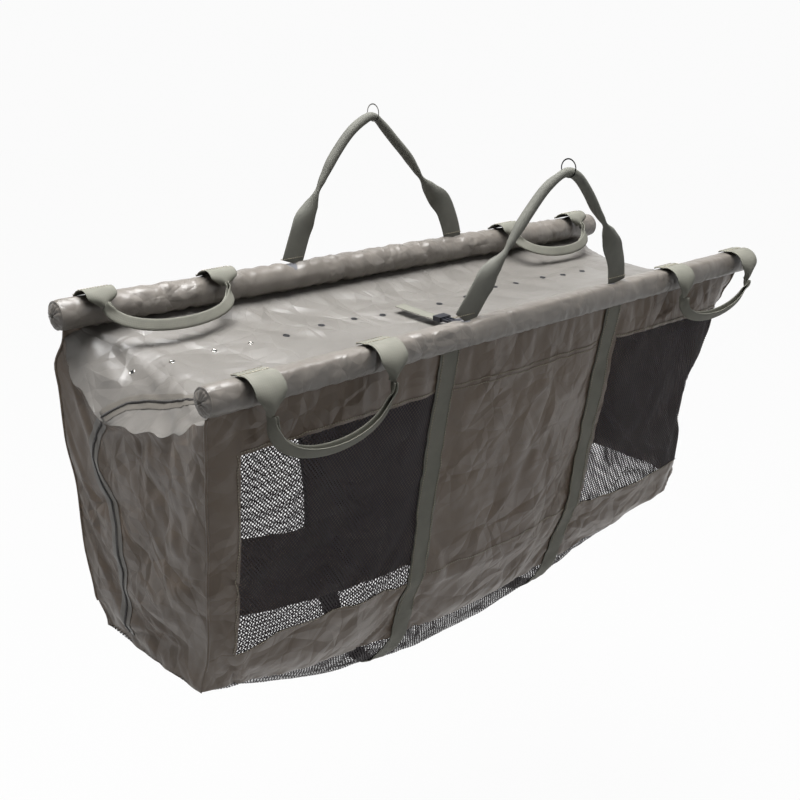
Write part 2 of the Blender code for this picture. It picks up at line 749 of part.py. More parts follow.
def build_keeper(name, x, side, end_degrees, stand):
    """A keeper loop: wide where it is sewn on the sleeve, pinched at its free end."""
    rings = []
    for step in range(KEEPER_STEPS + 1):
        degrees = KEEPER_START + (end_degrees - KEEPER_START) * step / KEEPER_STEPS
        spot, out = keeper_spot(side, degrees, end_degrees, stand)
        pinch = max(0.0, (degrees - KEEPER_LIFT_OFF) / (end_degrees - KEEPER_LIFT_OFF)) ** 2
        width = KEEPER_WIDTH + (KEEPER_PINCH - KEEPER_WIDTH) * pinch
        spot = spot + Vector((x, 0.0, 0.0))
        rings.append(flat_ring(spot, Vector((1.0, 0.0, 0.0)), out, width, STRAP_WEB))
    return loft(name, rings, WEBBING)


def grab_pivot(side, end_degrees, stand):
    """The axis that a grab strap swings on, just past its keepers' ends."""
    spot, _ = keeper_spot(side, end_degrees, end_degrees, stand)
    before, _ = keeper_spot(side, end_degrees - 1.0, end_degrees, stand)
    return spot + (spot - before).normalized() * (2 * GAP + GRAB / 2)


def build_grab(name, start_x, end_x, pivot, hang):
    """A grab strap that hangs in a U between two keepers."""
    lean, depth = hang
    turn = math.radians(lean)
    down = Vector((0.0, -math.sin(turn), -math.cos(turn)))
    normal = Vector((0.0, -math.cos(turn), math.sin(turn)))
    across = Vector((1.0, 0.0, 0.0))
    middle = pivot + across * (start_x + end_x) / 2
    half = (end_x - start_x) / 2
    spots = []
    for step in range(GRAB_STEPS + 1):
        turned = math.pi * step / GRAB_STEPS
        drop = depth * math.sin(turned) ** GRAB_SQUARENESS if 0 < step < GRAB_STEPS else 0.0
        spots.append(middle - across * half * math.cos(turned) + down * drop)
    round_end = down * GRAB * FOOT_ROUND_SHARE / 2
    rings = [flat_ring(spots[0] - round_end, across, normal, GRAB_WIDTH, GRAB * FOOT_ROUND_SHARE)]
    for index, spot in enumerate(spots):
        way = spots[min(index + 1, GRAB_STEPS)] - spots[max(index - 1, 0)]
        side = normal.cross(way)
        if index == 0:
            side = across
        if index == GRAB_STEPS:
            side = -across
        rings.append(flat_ring(spot, side, normal, GRAB_WIDTH, GRAB))
    rings.append(flat_ring(spots[-1] - round_end, -across, normal, GRAB_WIDTH, GRAB * FOOT_ROUND_SHARE))
    loft(name, rings, WEBBING, middle)


def keeper_places(insets):
    """Where a bar's keepers are along it: two from its left end, then two from its right end."""
    left = [inset - HALF_BAR for inset in insets[:2]]
    return left + [HALF_BAR - inset for inset in insets[2:]]


def build_grabs():
    """All keepers and the four grab straps."""
    sets = (
        ("front", -1, keeper_places(FRONT_KEEPER_INSETS), FRONT_KEEPER_END, FRONT_KEEPER_STAND,
         ((FRONT_GRAB_LEAN, FRONT_LEFT_GRAB_DEPTH), (FRONT_GRAB_LEAN, FRONT_RIGHT_GRAB_DEPTH))),
        ("back", 1, keeper_places(BACK_KEEPER_INSETS), BACK_KEEPER_END, BACK_KEEPER_STAND,
         ((BACK_GRAB_LEAN, BACK_GRAB_DEPTH), (BACK_GRAB_LEAN, BACK_GRAB_DEPTH))),
    )
    for word, side, places, end_degrees, stand, hangs in sets:
        for number, x in enumerate(places, 1):
            build_keeper(f"{word}_keeper_{number}", x, side, end_degrees, stand)
        pivot = grab_pivot(side, end_degrees, stand)
        build_grab(f"{word}_grab_left", places[0], places[1], pivot, hangs[0])
        build_grab(f"{word}_grab_right", places[2], places[3], pivot, hangs[1])


def build_buckle():
    """Side-release buckle: socket on a black tab at the front, prongs on the lid's tab."""
    base = CLOTH_TOP + GAP + COIL + GAP
    top = base + BUCKLE_THICKNESS
    half = BUCKLE_WIDTH / 2
    mouth = ZIP_FRONT_Y - BUCKLE_ZIP_SETBACK
    back = mouth - SOCKET_LENGTH
    shell = block((BUCKLE_X - half, back, base), (BUCKLE_X + half, mouth, top))
    socket = place("buckle_socket", shell, ACETAL)
    mid_z = (base + top) / 2
    hollow_half = half - SOCKET_WALL
    rise = PRONG_THICKNESS / 2 + PRONG_CLEARANCE
    hollow = block((BUCKLE_X - hollow_half, mouth - SOCKET_DEPTH, mid_z - rise),
                   (BUCKLE_X + hollow_half, mouth + OVERRUN, mid_z + rise))
    combine(socket, cutter("socket_hollow", hollow), "DIFFERENCE")
    tip = mouth + GAP
    root_y = tip + PRONG_REACH
    end_y = root_y + MALE_BODY
    reach = hollow_half - PRONG_CLEARANCE
    inner = reach - PRONG_WIDTH
    core = PRONG_WIDTH / 2
    taper = PRONG_WIDTH / 2
    outline = [
        (-reach + taper, tip), (-inner, tip + taper), (-inner, root_y), (-core, root_y),
        (-core, tip + PRONG_WIDTH), (core, tip + PRONG_WIDTH), (core, root_y), (inner, root_y),
        (inner, tip + taper), (reach - taper, tip), (reach, tip + PRONG_WIDTH),
        (reach, root_y + PRONG_WIDTH), (-reach, root_y + PRONG_WIDTH), (-reach, tip + PRONG_WIDTH),
    ]
    corners = [(BUCKLE_X + x, y, mid_z) for x, y in outline]
    prongs = panel("prong_shape", corners, ACETAL, PRONG_THICKNESS)
    PARTS.objects.unlink(prongs)
    CUTTERS.objects.link(prongs)
    prongs.hide_render = True
    prongs.display_type = "WIRE"
    body = block((BUCKLE_X - half, root_y, base), (BUCKLE_X + half, end_y, top))
    male = place("buckle_prongs", body, ACETAL, (BUCKLE_X, tip, mid_z))
    combine(male, prongs, "UNION")
    web_half = BUCKLE_WEB_WIDTH / 2
    web_z = CLOTH_TOP + GAP + THIN_WEB / 2
    start = root_y + LID_TAB_START
    rows = []
    for step in range(LID_TAB_BAYS + 1):
        y = start + LID_TAB_LENGTH * step / LID_TAB_BAYS
        tab_z = web_z - (lid_sag(BUCKLE_X, y) if step else 0.0)
        rows.append([Vector((BUCKLE_X + side * web_half, y, tab_z)) for side in (-1, 1)])
    sheet("lid_tab", rows, WEBBING, THIN_WEB, (BUCKLE_X, LID_FOLD_Y, -TOP_DROP))
    rear = wall_y(-1, web_z)
    fore = back + BAR_TAB_OVERLAP
    corners = [
        (BUCKLE_X - web_half, rear, web_z), (BUCKLE_X + web_half, rear, web_z),
        (BUCKLE_X + web_half, fore, web_z), (BUCKLE_X - web_half, fore, web_z),
    ]
    panel("bar_tab", corners, BLACK_WEB, THIN_WEB)


def build_sling():
    """Build every piece."""
    for word, side in (("front", -1), ("back", 1)):
        build_bar(word, side)
        build_wall(word, side)
    build_belly()
    build_ends()
    build_top()
    build_zip()
    build_slider()
    build_handle("front", -1, FRONT_FEET_X, FRONT_APEX)
    build_handle("back", 1, BACK_FEET_X, BACK_APEX)
    build_grabs()
    build_buckle()


build_sling()
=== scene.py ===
"""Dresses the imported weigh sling: cloth, mesh, webbing, stitching and a plain studio.

Every size is in metres. A place is given as (x, y, height), where height is measured from the
bar axes; the posture turns it into the frame's own coordinates, which start at the hang point.
"""

import logging
import math
from dataclasses import dataclass, field
from enum import Enum
from typing import Any, Callable, Sequence

import bmesh
import bpy
from mathutils import Matrix, Vector, noise
from mathutils.bvhtree import BVHTree


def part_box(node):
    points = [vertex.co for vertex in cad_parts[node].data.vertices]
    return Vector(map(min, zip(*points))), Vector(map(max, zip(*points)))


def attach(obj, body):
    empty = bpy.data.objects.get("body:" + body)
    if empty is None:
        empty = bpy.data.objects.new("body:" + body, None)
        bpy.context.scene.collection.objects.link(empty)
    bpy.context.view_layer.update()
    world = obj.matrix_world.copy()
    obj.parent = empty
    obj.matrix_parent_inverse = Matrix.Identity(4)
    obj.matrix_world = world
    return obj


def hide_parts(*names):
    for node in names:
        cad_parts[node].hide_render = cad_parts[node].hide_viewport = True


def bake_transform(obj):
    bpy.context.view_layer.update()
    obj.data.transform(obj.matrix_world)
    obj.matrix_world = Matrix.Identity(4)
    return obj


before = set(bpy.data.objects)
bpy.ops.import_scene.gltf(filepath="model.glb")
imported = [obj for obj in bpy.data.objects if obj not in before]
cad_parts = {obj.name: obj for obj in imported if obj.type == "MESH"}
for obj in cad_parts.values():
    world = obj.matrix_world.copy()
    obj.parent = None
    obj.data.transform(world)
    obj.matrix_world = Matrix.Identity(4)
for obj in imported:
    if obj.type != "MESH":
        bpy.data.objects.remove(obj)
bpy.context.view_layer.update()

LOG = logging.getLogger("sling")

Place = Callable[[float, float], Vector]
Keep = Callable[[float, float], bool]


# Small measures of shape


def clamp(value: float, low: float = 0.0, high: float = 1.0) -> float:
    """A value held between two limits."""
    return max(low, min(high, value))


def smoothstep(start: float, end: float, value: float) -> float:
    """A smooth rise from 0 at start to 1 at end."""
    share = clamp((value - start) / (end - start))
    return share * share * (3.0 - 2.0 * share)


def table(points: Sequence[tuple[float, float]], value: float) -> float:
    """Read a smooth curve through a table.

    Args:
        points: Pairs of input and output in rising order of input.
        value: The input to read at.

    Returns:
        The output there, held at both ends.
    """
    if value <= points[0][0]:
        return points[0][1]
    for (start, low), (end, high) in zip(points, points[1:]):
        if value <= end:
            return low + (high - low) * smoothstep(start, end, value)
    return points[-1][1]


def stations(breaks: Sequence[float], cell: float) -> list[float]:
    """Divide stretches evenly, so that each break is a station.

    Args:
        breaks: The places that must be stations, in rising order.
        cell: The longest distance between two stations.

    Returns:
        All stations in rising order.
    """
    found = [breaks[0]]
    for start, end in zip(breaks, breaks[1:]):
        count = max(1, math.ceil((end - start) / cell - 1e-6))
        found += [start + (end - start) * step / count for step in range(1, count + 1)]
    return found


def ripple(place: Vector, size: float, seed: float) -> float:
    """Smooth noise from -1 to 1 whose features are about size metres wide."""
    return noise.noise(place / size + Vector((seed, seed * 1.7, -seed)))


def crease(place: Vector, size: float, seed: float) -> float:
    """Sharp-ridged noise from 0 to 1, like folds in crisp cloth."""
    return (1.0 - abs(ripple(place, size, seed))) ** 3


def crumple(place: Vector, size: float, seed: float) -> float:
    """Facets and folds from -1 to 1, about size metres wide, like crisp cloth once packed small."""
    shift = Vector((seed, seed, seed))
    bent = place / size + noise.noise_vector(place / size * 0.7 + shift) * 0.6 + shift
    near = noise.voronoi(bent)[0]
    return 2.0 * min(1.0, (near[1] - near[0]) * 1.4) - 1.0


# Materials


def linear(code: str) -> tuple[float, float, float, float]:
    """Turn an sRGB hex colour into linear values with full opacity."""
    parts = [int(code[step:step + 2], 16) / 255 for step in (0, 2, 4)]
    made = [part / 12.92 if part <= 0.04045 else ((part + 0.055) / 1.055) ** 2.4 for part in parts]
    return made[0], made[1], made[2], 1.0


def add_node(
    tree: bpy.types.NodeTree, kind: str, settings: dict[str, Any] | None = None,
    inputs: dict[Any, Any] | None = None,
) -> bpy.types.Node:
    """Add a node with its settings and links.

    Args:
        tree: The material's node tree.
        kind: The node's type name.
        settings: Attributes to set on the node.
        inputs: Socket names or numbers, each with a value or with a socket to link from.

    Returns:
        The new node.
    """
    node = tree.nodes.new(kind)
    for name, value in (settings or {}).items():
        setattr(node, name, value)
    for name, value in (inputs or {}).items():
        if isinstance(value, bpy.types.NodeSocket):
            tree.links.new(value, node.inputs[name])
        else:
            node.inputs[name].default_value = value
    return node


@dataclass(frozen=True)
class Finish:
    """A material with a Principled shader, and what every kind of it shares."""

    name: str
    shade: str
    roughness: float = 0.6
    metallic: float = 0.0

    def start(self) -> tuple[bpy.types.Material, bpy.types.NodeTree, bpy.types.Node]:
        """Make the material with its shader's constants set on the shader's own sockets."""
        made = bpy.data.materials.new(self.name)
        made.use_nodes = True
        tree = made.node_tree
        shader = tree.nodes["Principled BSDF"]
        shader.inputs["Base Color"].default_value = linear(self.shade)
        shader.inputs["Roughness"].default_value = self.roughness
        shader.inputs["Metallic"].default_value = self.metallic
        return made, tree, shader

    def mottle(
        self, tree: bpy.types.NodeTree, shader: bpy.types.Node, source: bpy.types.NodeSocket,
        other: str, scale: float,
    ) -> None:
        """Let the colour drift between the shade and another one.

        Args:
            tree: The material's node tree.
            shader: Its Principled shader.
            source: The coordinates that the drift follows.
            other: The second colour as sRGB hex.
            scale: Features per metre.
        """
        drift = add_node(
            tree, "ShaderNodeTexNoise", None,
            {"Vector": source, "Scale": scale, "Detail": 4.0, "Roughness": 0.6},
        )
        ramp = add_node(tree, "ShaderNodeValToRGB", None, {"Fac": drift.outputs["Fac"]})
        ramp.color_ramp.elements[0].position = 0.35
        ramp.color_ramp.elements[0].color = linear(self.shade)
        ramp.color_ramp.elements[1].position = 0.68
        ramp.color_ramp.elements[1].color = linear(other)
        tree.links.new(ramp.outputs["Color"], shader.inputs["Base Color"])

    def build(self) -> bpy.types.Material:
        """Make the plain material."""
        return self.start()[0]


@dataclass(frozen=True)
class CoatedNylon(Finish):
    """Polyurethane-coated nylon taffeta: a soft sheen, and creases that catch the light."""

    other: str = "6f695c"
    crease_mm: float = 70.0
    tilt: float = 0.20
    coat: float = 0.2
    shine: float = 0.5

    def build(self) -> bpy.types.Material:
        """Drifting colour, soft swells, two sizes of folded facets, a faint thread grain and a satin coat."""
        made, tree, shader = self.start()
        shader.inputs["Coat Weight"].default_value = self.coat
        shader.inputs["Coat Roughness"].default_value = 0.35
        shader.inputs["Specular IOR Level"].default_value = self.shine
        where = add_node(tree, "ShaderNodeTexCoord").outputs["Object"]
        self.mottle(tree, shader, where, self.other, 5.0)
        bend = add_node(
            tree, "ShaderNodeTexNoise", None,
            {"Vector": where, "Scale": 1000.0 / (self.crease_mm * 1.6), "Detail": 2.0, "Distortion": 0.8},
        )
        normal = add_node(
            tree, "ShaderNodeBump", None,
            {"Height": bend.outputs["Fac"], "Distance": self.crease_mm * self.tilt / 1000.0, "Strength": 0.6},
        ).outputs["Normal"]
        sway = add_node(
            tree, "ShaderNodeTexNoise", None, {"Vector": where, "Scale": 900.0 / self.crease_mm, "Detail": 1.0},
        )
        bent = add_node(
            tree, "ShaderNodeVectorMath", {"operation": "MULTIPLY_ADD"},
            {0: sway.outputs["Color"], 1: (self.crease_mm / 2400.0,) * 3, 2: where},
        ).outputs["Vector"]
        patches = add_node(
            tree, "ShaderNodeMapRange", None,
            {"Value": bend.outputs["Fac"], "From Min": 0.38, "From Max": 0.62, "To Min": 0.2, "To Max": 1.0},
        )
        for width_mm, share in ((self.crease_mm, 1.0), (self.crease_mm * 0.38, 0.7)):
            folds = add_node(
                tree, "ShaderNodeTexVoronoi", {"feature": "DISTANCE_TO_EDGE"},
                {"Vector": bent, "Scale": 1000.0 / width_mm},
            )
            normal = add_node(
                tree, "ShaderNodeBump", None,
                {"Height": folds.outputs["Distance"], "Distance": width_mm * self.tilt * share / 1000.0,
                 "Strength": patches.outputs["Result"], "Normal": normal},
            ).outputs["Normal"]
        # The real threads are about 0.3 mm apart; drawn at 1.6 mm, the finest that shows here
        grain = add_node(
            tree, "ShaderNodeTexNoise", None, {"Vector": where, "Scale": 1000.0 / 1.6, "Detail": 1.0},
        )
        normal = add_node(
            tree, "ShaderNodeBump", None,
            {"Height": grain.outputs["Fac"], "Distance": 0.0002, "Strength": 0.35, "Normal": normal},
        ).outputs["Normal"]
        tree.links.new(normal, shader.inputs["Normal"])
        tree.links.new(normal, shader.inputs["Coat Normal"])
        sheen = add_node(
            tree, "ShaderNodeMapRange", None,
            {"Value": bend.outputs["Fac"], "To Min": self.roughness - 0.06, "To Max": self.roughness + 0.10},
        )
        tree.links.new(sheen.outputs["Result"], shader.inputs["Roughness"])
        return made


@dataclass(frozen=True)
class WovenWebbing(Finish):
    """Polyester webbing: matt, with cross ribs and a slightly darker woven edge."""

    other: str = "74756a"
    rib_mm: float = 2.4
    relief: float = 0.25

    def build(self) -> bpy.types.Material:
        """Cross ribs along the strap's own length, over drifting colour."""
        made, tree, shader = self.start()
        where = add_node(tree, "ShaderNodeTexCoord")
        self.mottle(tree, shader, where.outputs["Object"], self.other, 30.0)
        # The real ribs are about 1.2 mm apart; drawn twice as coarse so that they show
        ribs = add_node(
            tree, "ShaderNodeTexWave", {"bands_direction": "X"},
            {"Vector": where.outputs["UV"], "Scale": 314.0 / self.rib_mm, "Distortion": 0.6},
        )
        lines = add_node(
            tree, "ShaderNodeTexWave", {"bands_direction": "Y"},
            {"Vector": where.outputs["UV"], "Scale": 236.0 / self.rib_mm},
        )
        both = add_node(
            tree, "ShaderNodeMath", {"operation": "MULTIPLY"}, {0: ribs.outputs["Fac"], 1: lines.outputs["Fac"]},
        )
        bump = add_node(
            tree, "ShaderNodeBump", None,
            {"Height": both.outputs["Value"], "Distance": 0.0003, "Strength": self.relief},
        )
        tree.links.new(bump.outputs["Normal"], shader.inputs["Normal"])
        return made


@dataclass(frozen=True)
class KnitMesh(Finish):
    """Warp-knitted polyester mesh: round holes in a slanting lattice, seen through."""

    pitch_mm: float = 4.6
    hole_share: float = 0.41

    def build(self) -> bpy.types.Material:
        """Holes cut by the mesh's own UV map, which is in metres."""
        made, tree, shader = self.start()
        where = add_node(tree, "ShaderNodeTexCoord").outputs["UV"]
        turned = add_node(
            tree, "ShaderNodeMapping", None,
            {"Vector": where, "Rotation": (0.0, 0.0, 0.62), "Scale": (1000.0 / self.pitch_mm,) * 3},
        )
        cells = add_node(
            tree, "ShaderNodeTexVoronoi", {"voronoi_dimensions": "2D"},
            {"Vector": turned.outputs["Vector"], "Scale": 1.0, "Randomness": 0.0},
        )
        thread = add_node(
            tree, "ShaderNodeMath", {"operation": "GREATER_THAN"},
            {0: cells.outputs["Distance"], 1: self.hole_share},
        )
        tree.links.new(thread.outputs["Value"], shader.inputs["Alpha"])
        bump = add_node(
            tree, "ShaderNodeBump", None,
            {"Height": cells.outputs["Distance"], "Distance": 0.0008, "Strength": 0.6},
        )
        tree.links.new(bump.outputs["Normal"], shader.inputs["Normal"])
        return made


@dataclass(frozen=True)
class CoilZip(Finish):
    """Moulded nylon coil: close turns across its length."""

    def build(self) -> bpy.types.Material:
        """Turns of the coil along the zip's own length."""
        made, tree, shader = self.start()
        where = add_node(tree, "ShaderNodeTexCoord").outputs["UV"]
        turns = add_node(
            tree, "ShaderNodeTexWave", {"bands_direction": "X"}, {"Vector": where, "Scale": 314.0 / 1.6},
        )
        bump = add_node(
            tree, "ShaderNodeBump", None,
            {"Height": turns.outputs["Fac"], "Distance": 0.0008, "Strength": 0.9},
        )
        tree.links.new(bump.outputs["Normal"], shader.inputs["Normal"])
        return made


@dataclass(frozen=True)
class Grained(Finish):
    """A finish with a fine grain: moulded plastic, foam, drawn wire or thread."""

    other: str = "808080"
    grain_mm: float = 2.0
    depth_mm: float = 0.1

    def build(self) -> bpy.types.Material:
        """Fine noise for the grain, over slightly drifting colour."""
        made, tree, shader = self.start()
        where = add_node(tree, "ShaderNodeTexCoord").outputs["Object"]
        self.mottle(tree, shader, where, self.other, 60.0)
        grain = add_node(
            tree, "ShaderNodeTexNoise", None,
            {"Vector": where, "Scale": 1000.0 / self.grain_mm, "Detail": 3.0},
        )
        bump = add_node(
            tree, "ShaderNodeBump", None,
            {"Height": grain.outputs["Fac"], "Distance": self.depth_mm / 1000.0, "Strength": 0.6},
        )
        tree.links.new(bump.outputs["Normal"], shader.inputs["Normal"])
        return made


class Look(Enum):
    """The finishes that the sling is made in."""

    NYLON = CoatedNylon("polyurethane_coated_nylon", "64615d", 0.38, other="6e6b67", crease_mm=120.0, tilt=0.17)
    # A darker, less glossy copy of the same coated nylon: painted shade for the walls, ends and bindings.
    SHADED_NYLON = CoatedNylon("coated_nylon_painted_shade", "5e5145", 0.34, other="685c50", crease_mm=100.0, tilt=0.26,
                             coat=0.0, shine=0.35)
    SLEEVE_NYLON = CoatedNylon("coated_nylon_sleeve", "625d57", 0.42, other="6c6761", crease_mm=60.0, tilt=0.20)
    WEBBING = WovenWebbing("woven_polyester_webbing", "65655c", 0.80, other="6f6e65")
    MESH = KnitMesh("warp_knitted_mesh", "241c1f", 0.75)
    TAPE = CoatedNylon("zip_tape_nylon", "57534d", 0.42, other="615d57", tilt=0.08)
    COIL = CoilZip("moulded_nylon_coil", "201c1a", 0.45)
    THREAD = Grained("bonded_thread", "8b8474", 0.70, other="98917f")
    HANDLE_WEB = WovenWebbing("handle_polyester_webbing", "565650", 0.80, other="5f5f58", rib_mm=5.0, relief=0.05)
    DARK_WEB = WovenWebbing("black_webbing", "19191c", 0.80, other="232327")
    ACETAL = Grained("moulded_acetal", "14161d", 0.42, other="1c1f29", grain_mm=0.8)
    STEEL = Grained("plated_steel_wire", "cfcdc8", 0.22, 1.0, other="dad8d3", grain_mm=1.0, depth_mm=0.02)
    SHADE = Grained("unlit_eyelet_opening", "0b0a0a", 0.95, other="100f0f")
    FOAM = Grained("closed_cell_foam", "55565a", 0.90, other="606165", grain_mm=1.2, depth_mm=0.5)
    FIBRE = Grained("pultruded_glass_fibre", "3a3a3c", 0.40, other="444446", grain_mm=0.6)


class Wardrobe:
    """Builds each finish once and hands it out."""

    def __init__(self) -> None:
        """Start with nothing made."""
        self.made: dict[Look, bpy.types.Material] = {}

    def get(self, look: Look) -> bpy.types.Material:
        """The material of a finish."""
        if look not in self.made:
            self.made[look] = look.value.build()
        return self.made[look]


WARDROBE = Wardrobe()


# Cloth and webbing


def finish_mesh(name: str, shape: bmesh.types.BMesh, look: Look, smooth: bool = True) -> bpy.types.Object:
    """Turn a bmesh into an object with its material.

    Args:
        name: The piece's name.
        shape: The bmesh, which is freed.
        look: The finish.
        smooth: Whether its faces are shaded smooth.

    Returns:
        The new object, at the origin.
    """
    for face in shape.faces:
        face.smooth = smooth
    mesh = bpy.data.meshes.new(name)
    shape.to_mesh(mesh)
    shape.free()
    mesh.materials.append(WARDROBE.get(look))
    made = bpy.data.objects.new(name, mesh)
    bpy.context.scene.collection.objects.link(made)
    return made


def woven_grid(across: Sequence[float], along: Sequence[float], place: Place) -> bmesh.types.BMesh:
    """A grid of cloth whose UV map holds its own coordinates in metres.

    Args:
        across: The first coordinate of each line of the grid.
        along: The second coordinate of each line of the grid.
        place: Where a pair of coordinates lies in the frame.

    Returns:
        The bmesh.
    """
    shape = bmesh.new()
    weave = shape.loops.layers.uv.new("UVMap")
    columns, rows = len(across) - 1, len(along) - 1
    bmesh.ops.create_grid(shape, x_segments=columns, y_segments=rows, size=0.5)
    spots = {}
    for vert in shape.verts:
        column, row = round((vert.co.x + 0.5) * columns), round((vert.co.y + 0.5) * rows)
        spots[vert] = (across[column], along[row])
    for face in shape.faces:
        for loop in face.loops:
            loop[weave].uv = spots[loop.vert]
    for vert, (first, second) in spots.items():
        vert.co = place(first, second)
    return shape


def weld_outward(shape: bmesh.types.BMesh) -> bmesh.types.BMesh:
    """Merge a seam's doubled points and turn the faces outward."""
    bmesh.ops.remove_doubles(shape, verts=shape.verts[:], dist=1e-5)
    bmesh.ops.recalc_face_normals(shape, faces=shape.faces[:])
    return shape


def thicken(made: bpy.types.Object, depth: float, offset: float = 0.0) -> bpy.types.Object:
    """Give a sheet its thickness with a live Solidify, and shade its thin rims apart from its faces."""
    wall = made.modifiers.new("thickness", "SOLIDIFY")
    wall.thickness = depth
    wall.offset = offset
    made.modifiers.new("flat_rims", "WEIGHTED_NORMAL")
    return made


def cut_out(source: bpy.types.Object, name: str, look: Look, keep: Keep) -> bpy.types.Object:
    """Copy the part of a sheet whose own coordinates pass a test.

    Args:
        source: The whole sheet.
        name: The new piece's name.
        look: The new piece's finish.
        keep: Says whether the middle of a face, in the sheet's own metres, is kept.

    Returns:
        The new piece.
    """
    shape = bmesh.new()
    shape.from_mesh(source.data)
    weave = shape.loops.layers.uv.verify()
    dropped = []
    for face in shape.faces:
        middle = sum((loop[weave].uv for loop in face.loops), Vector((0.0, 0.0))) / len(face.loops)
        if not keep(middle.x, middle.y):
            dropped.append(face)
    bmesh.ops.delete(shape, geom=dropped, context="FACES")
    return finish_mesh(name, shape, look)


@dataclass(frozen=True)
class Drape:
    """How a sheet is let down by simulation: its spare cloth, its give and its limit."""

    growth: float = 0.022
    gravity: float = 0.25
    frames: int = 22
    limit: float = 0.016

    def run(self, sheet: bpy.types.Object, hold: Callable[[float, float], float]) -> None:
        """Let a sheet settle between its seams and keep the result as its mesh.

        Args:
            sheet: The sheet, whose UV map holds its own coordinates.
            hold: How firmly the sheet is held at a pair of its coordinates, from 0 to 1.
        """
        group = sheet.vertex_groups.new(name="hold")
        weave = sheet.data.uv_layers[0].data
        firm = {}
        for loop in sheet.data.loops:
            firm[loop.vertex_index] = hold(*weave[loop.index].uv)
        for index, weight in firm.items():
            group.add([index], weight, "REPLACE")
        start = [vert.co.copy() for vert in sheet.data.vertices]
        cloth = sheet.modifiers.new("drape", "CLOTH")
        rules = cloth.settings
        rules.quality = 6
        rules.mass = 0.15
        rules.tension_stiffness = 25.0
        rules.compression_stiffness = 25.0
        rules.shear_stiffness = 10.0
        rules.bending_stiffness = 0.12
        rules.shrink_min = -self.growth
        rules.vertex_group_mass = "hold"
        rules.pin_stiffness = 1.0
        rules.effector_weights.gravity = self.gravity
        cloth.point_cache.frame_start = 1
        cloth.point_cache.frame_end = self.frames
        scene = bpy.context.scene
        for frame_number in range(1, self.frames + 1):
            scene.frame_set(frame_number)
        graph = bpy.context.evaluated_depsgraph_get()
        settled = [vert.co.copy() for vert in sheet.evaluated_get(graph).data.vertices]
        sheet.modifiers.remove(cloth)
        scene.frame_set(1)
        for vert, rest, moved in zip(sheet.data.vertices, start, settled):
            step = moved - rest
            if step.length > self.limit:
                step *= self.limit / step.length
            vert.co = rest + step
        sheet.vertex_groups.remove(group)
        sheet.data.update()


def folded(across: float, width: float, spread: float) -> tuple[float, float]:
    """Place a spot of webbing folded into a V, as (way of its lean, sideways).

    Args:
        across: How far the spot is from the webbing's middle.
        width: The webbing's flat width.
        spread: Half the angle between the halves, a quarter turn for flat webbing.

    Returns:
        The two distances from the webbing's line.
    """
    soft = math.sqrt(across * across + 0.004 * width * width)
    return (soft - width / 4) * math.cos(spread), across * math.sin(spread)


def curled(across: float, width: float, turn: float) -> tuple[float, float]:
    """Place a spot of webbing curled into an arc, as (way of its lean, sideways).

    Args:
        across: How far the spot is from the webbing's middle.
        width: The webbing's flat width.
        turn: How far the arc turns from edge to edge.

    Returns:
        The two distances from the webbing's line.
    """
    bend = max(turn, 0.02) / width
    middle = (1.0 - math.sin(bend * width / 2) / (bend * width / 2)) / bend
    return (1.0 - math.cos(bend * across)) / bend - middle, math.sin(bend * across) / bend


def strap(
    name: str, spine: Sequence[Vector], leans: Sequence[Vector], width: float,
    section: Callable[[float, float], tuple[float, float]], look: Look = Look.WEBBING, depth: float = 0.0016,
) -> bpy.types.Object:
    """Webbing along a line, folded or curled lengthwise.

    Args:
        name: The piece's name.
        spine: Points along the strap's middle.
        leans: The way that its two edges turn towards at each point.
        width: The webbing's flat width.
        section: Where a spot stands, from the share of the length and the distance across.
        look: Its finish.
        depth: Its thickness.

    Returns:
        The strap.
    """
    last = len(spine) - 1
    run = [0.0]
    for here, after in zip(spine, spine[1:]):
        run.append(run[-1] + (after - here).length)
    index = {round(value, 7): number for number, value in enumerate(run)}

    def place(along: float, across: float) -> Vector:
        number = index[round(along, 7)]
        way = (spine[min(number + 1, last)] - spine[max(number - 1, 0)]).normalized()
        lean = (leans[number] - way * leans[number].dot(way)).normalized()
        side = way.cross(lean)
        reach, aside = section(along / run[-1], across)
        return spine[number] + lean * reach + side * aside

    shape = woven_grid(run, [width * (step / 12 - 0.5) for step in range(13)], place)
    return thicken(finish_mesh(name, shape, look), depth)


def smooth_line(points: Sequence[Vector], count: int) -> list[Vector]:
    """Pass a smooth curve through points.

    Args:
        points: The points to pass through.
        count: How many even steps to return.

    Returns:
        count + 1 points along the curve.
    """
    padded = [points[0] * 2 - points[1], *points, points[-1] * 2 - points[-2]]
    fine = []
    for p0, p1, p2, p3 in zip(padded, padded[1:], padded[2:], padded[3:]):
        for step in range(12):
            t = step / 12
            fine.append(0.5 * (
                p1 * 2 + (p2 - p0) * t + (p0 * 2 - p1 * 5 + p2 * 4 - p3) * t * t
                + (p1 * 3 - p0 - p2 * 3 + p3) * t ** 3
            ))
    fine.append(points[-1].copy())
    run = [0.0]
    for here, after in zip(fine, fine[1:]):
        run.append(run[-1] + (after - here).length)
    found, spot = [], 0
    for step in range(count + 1):
        goal = run[-1] * step / count
        while spot < len(run) - 2 and run[spot + 1] < goal:
            spot += 1
        share = (goal - run[spot]) / max(run[spot + 1] - run[spot], 1e-9)
        found.append(fine[spot].lerp(fine[spot + 1], clamp(share)))
    return found


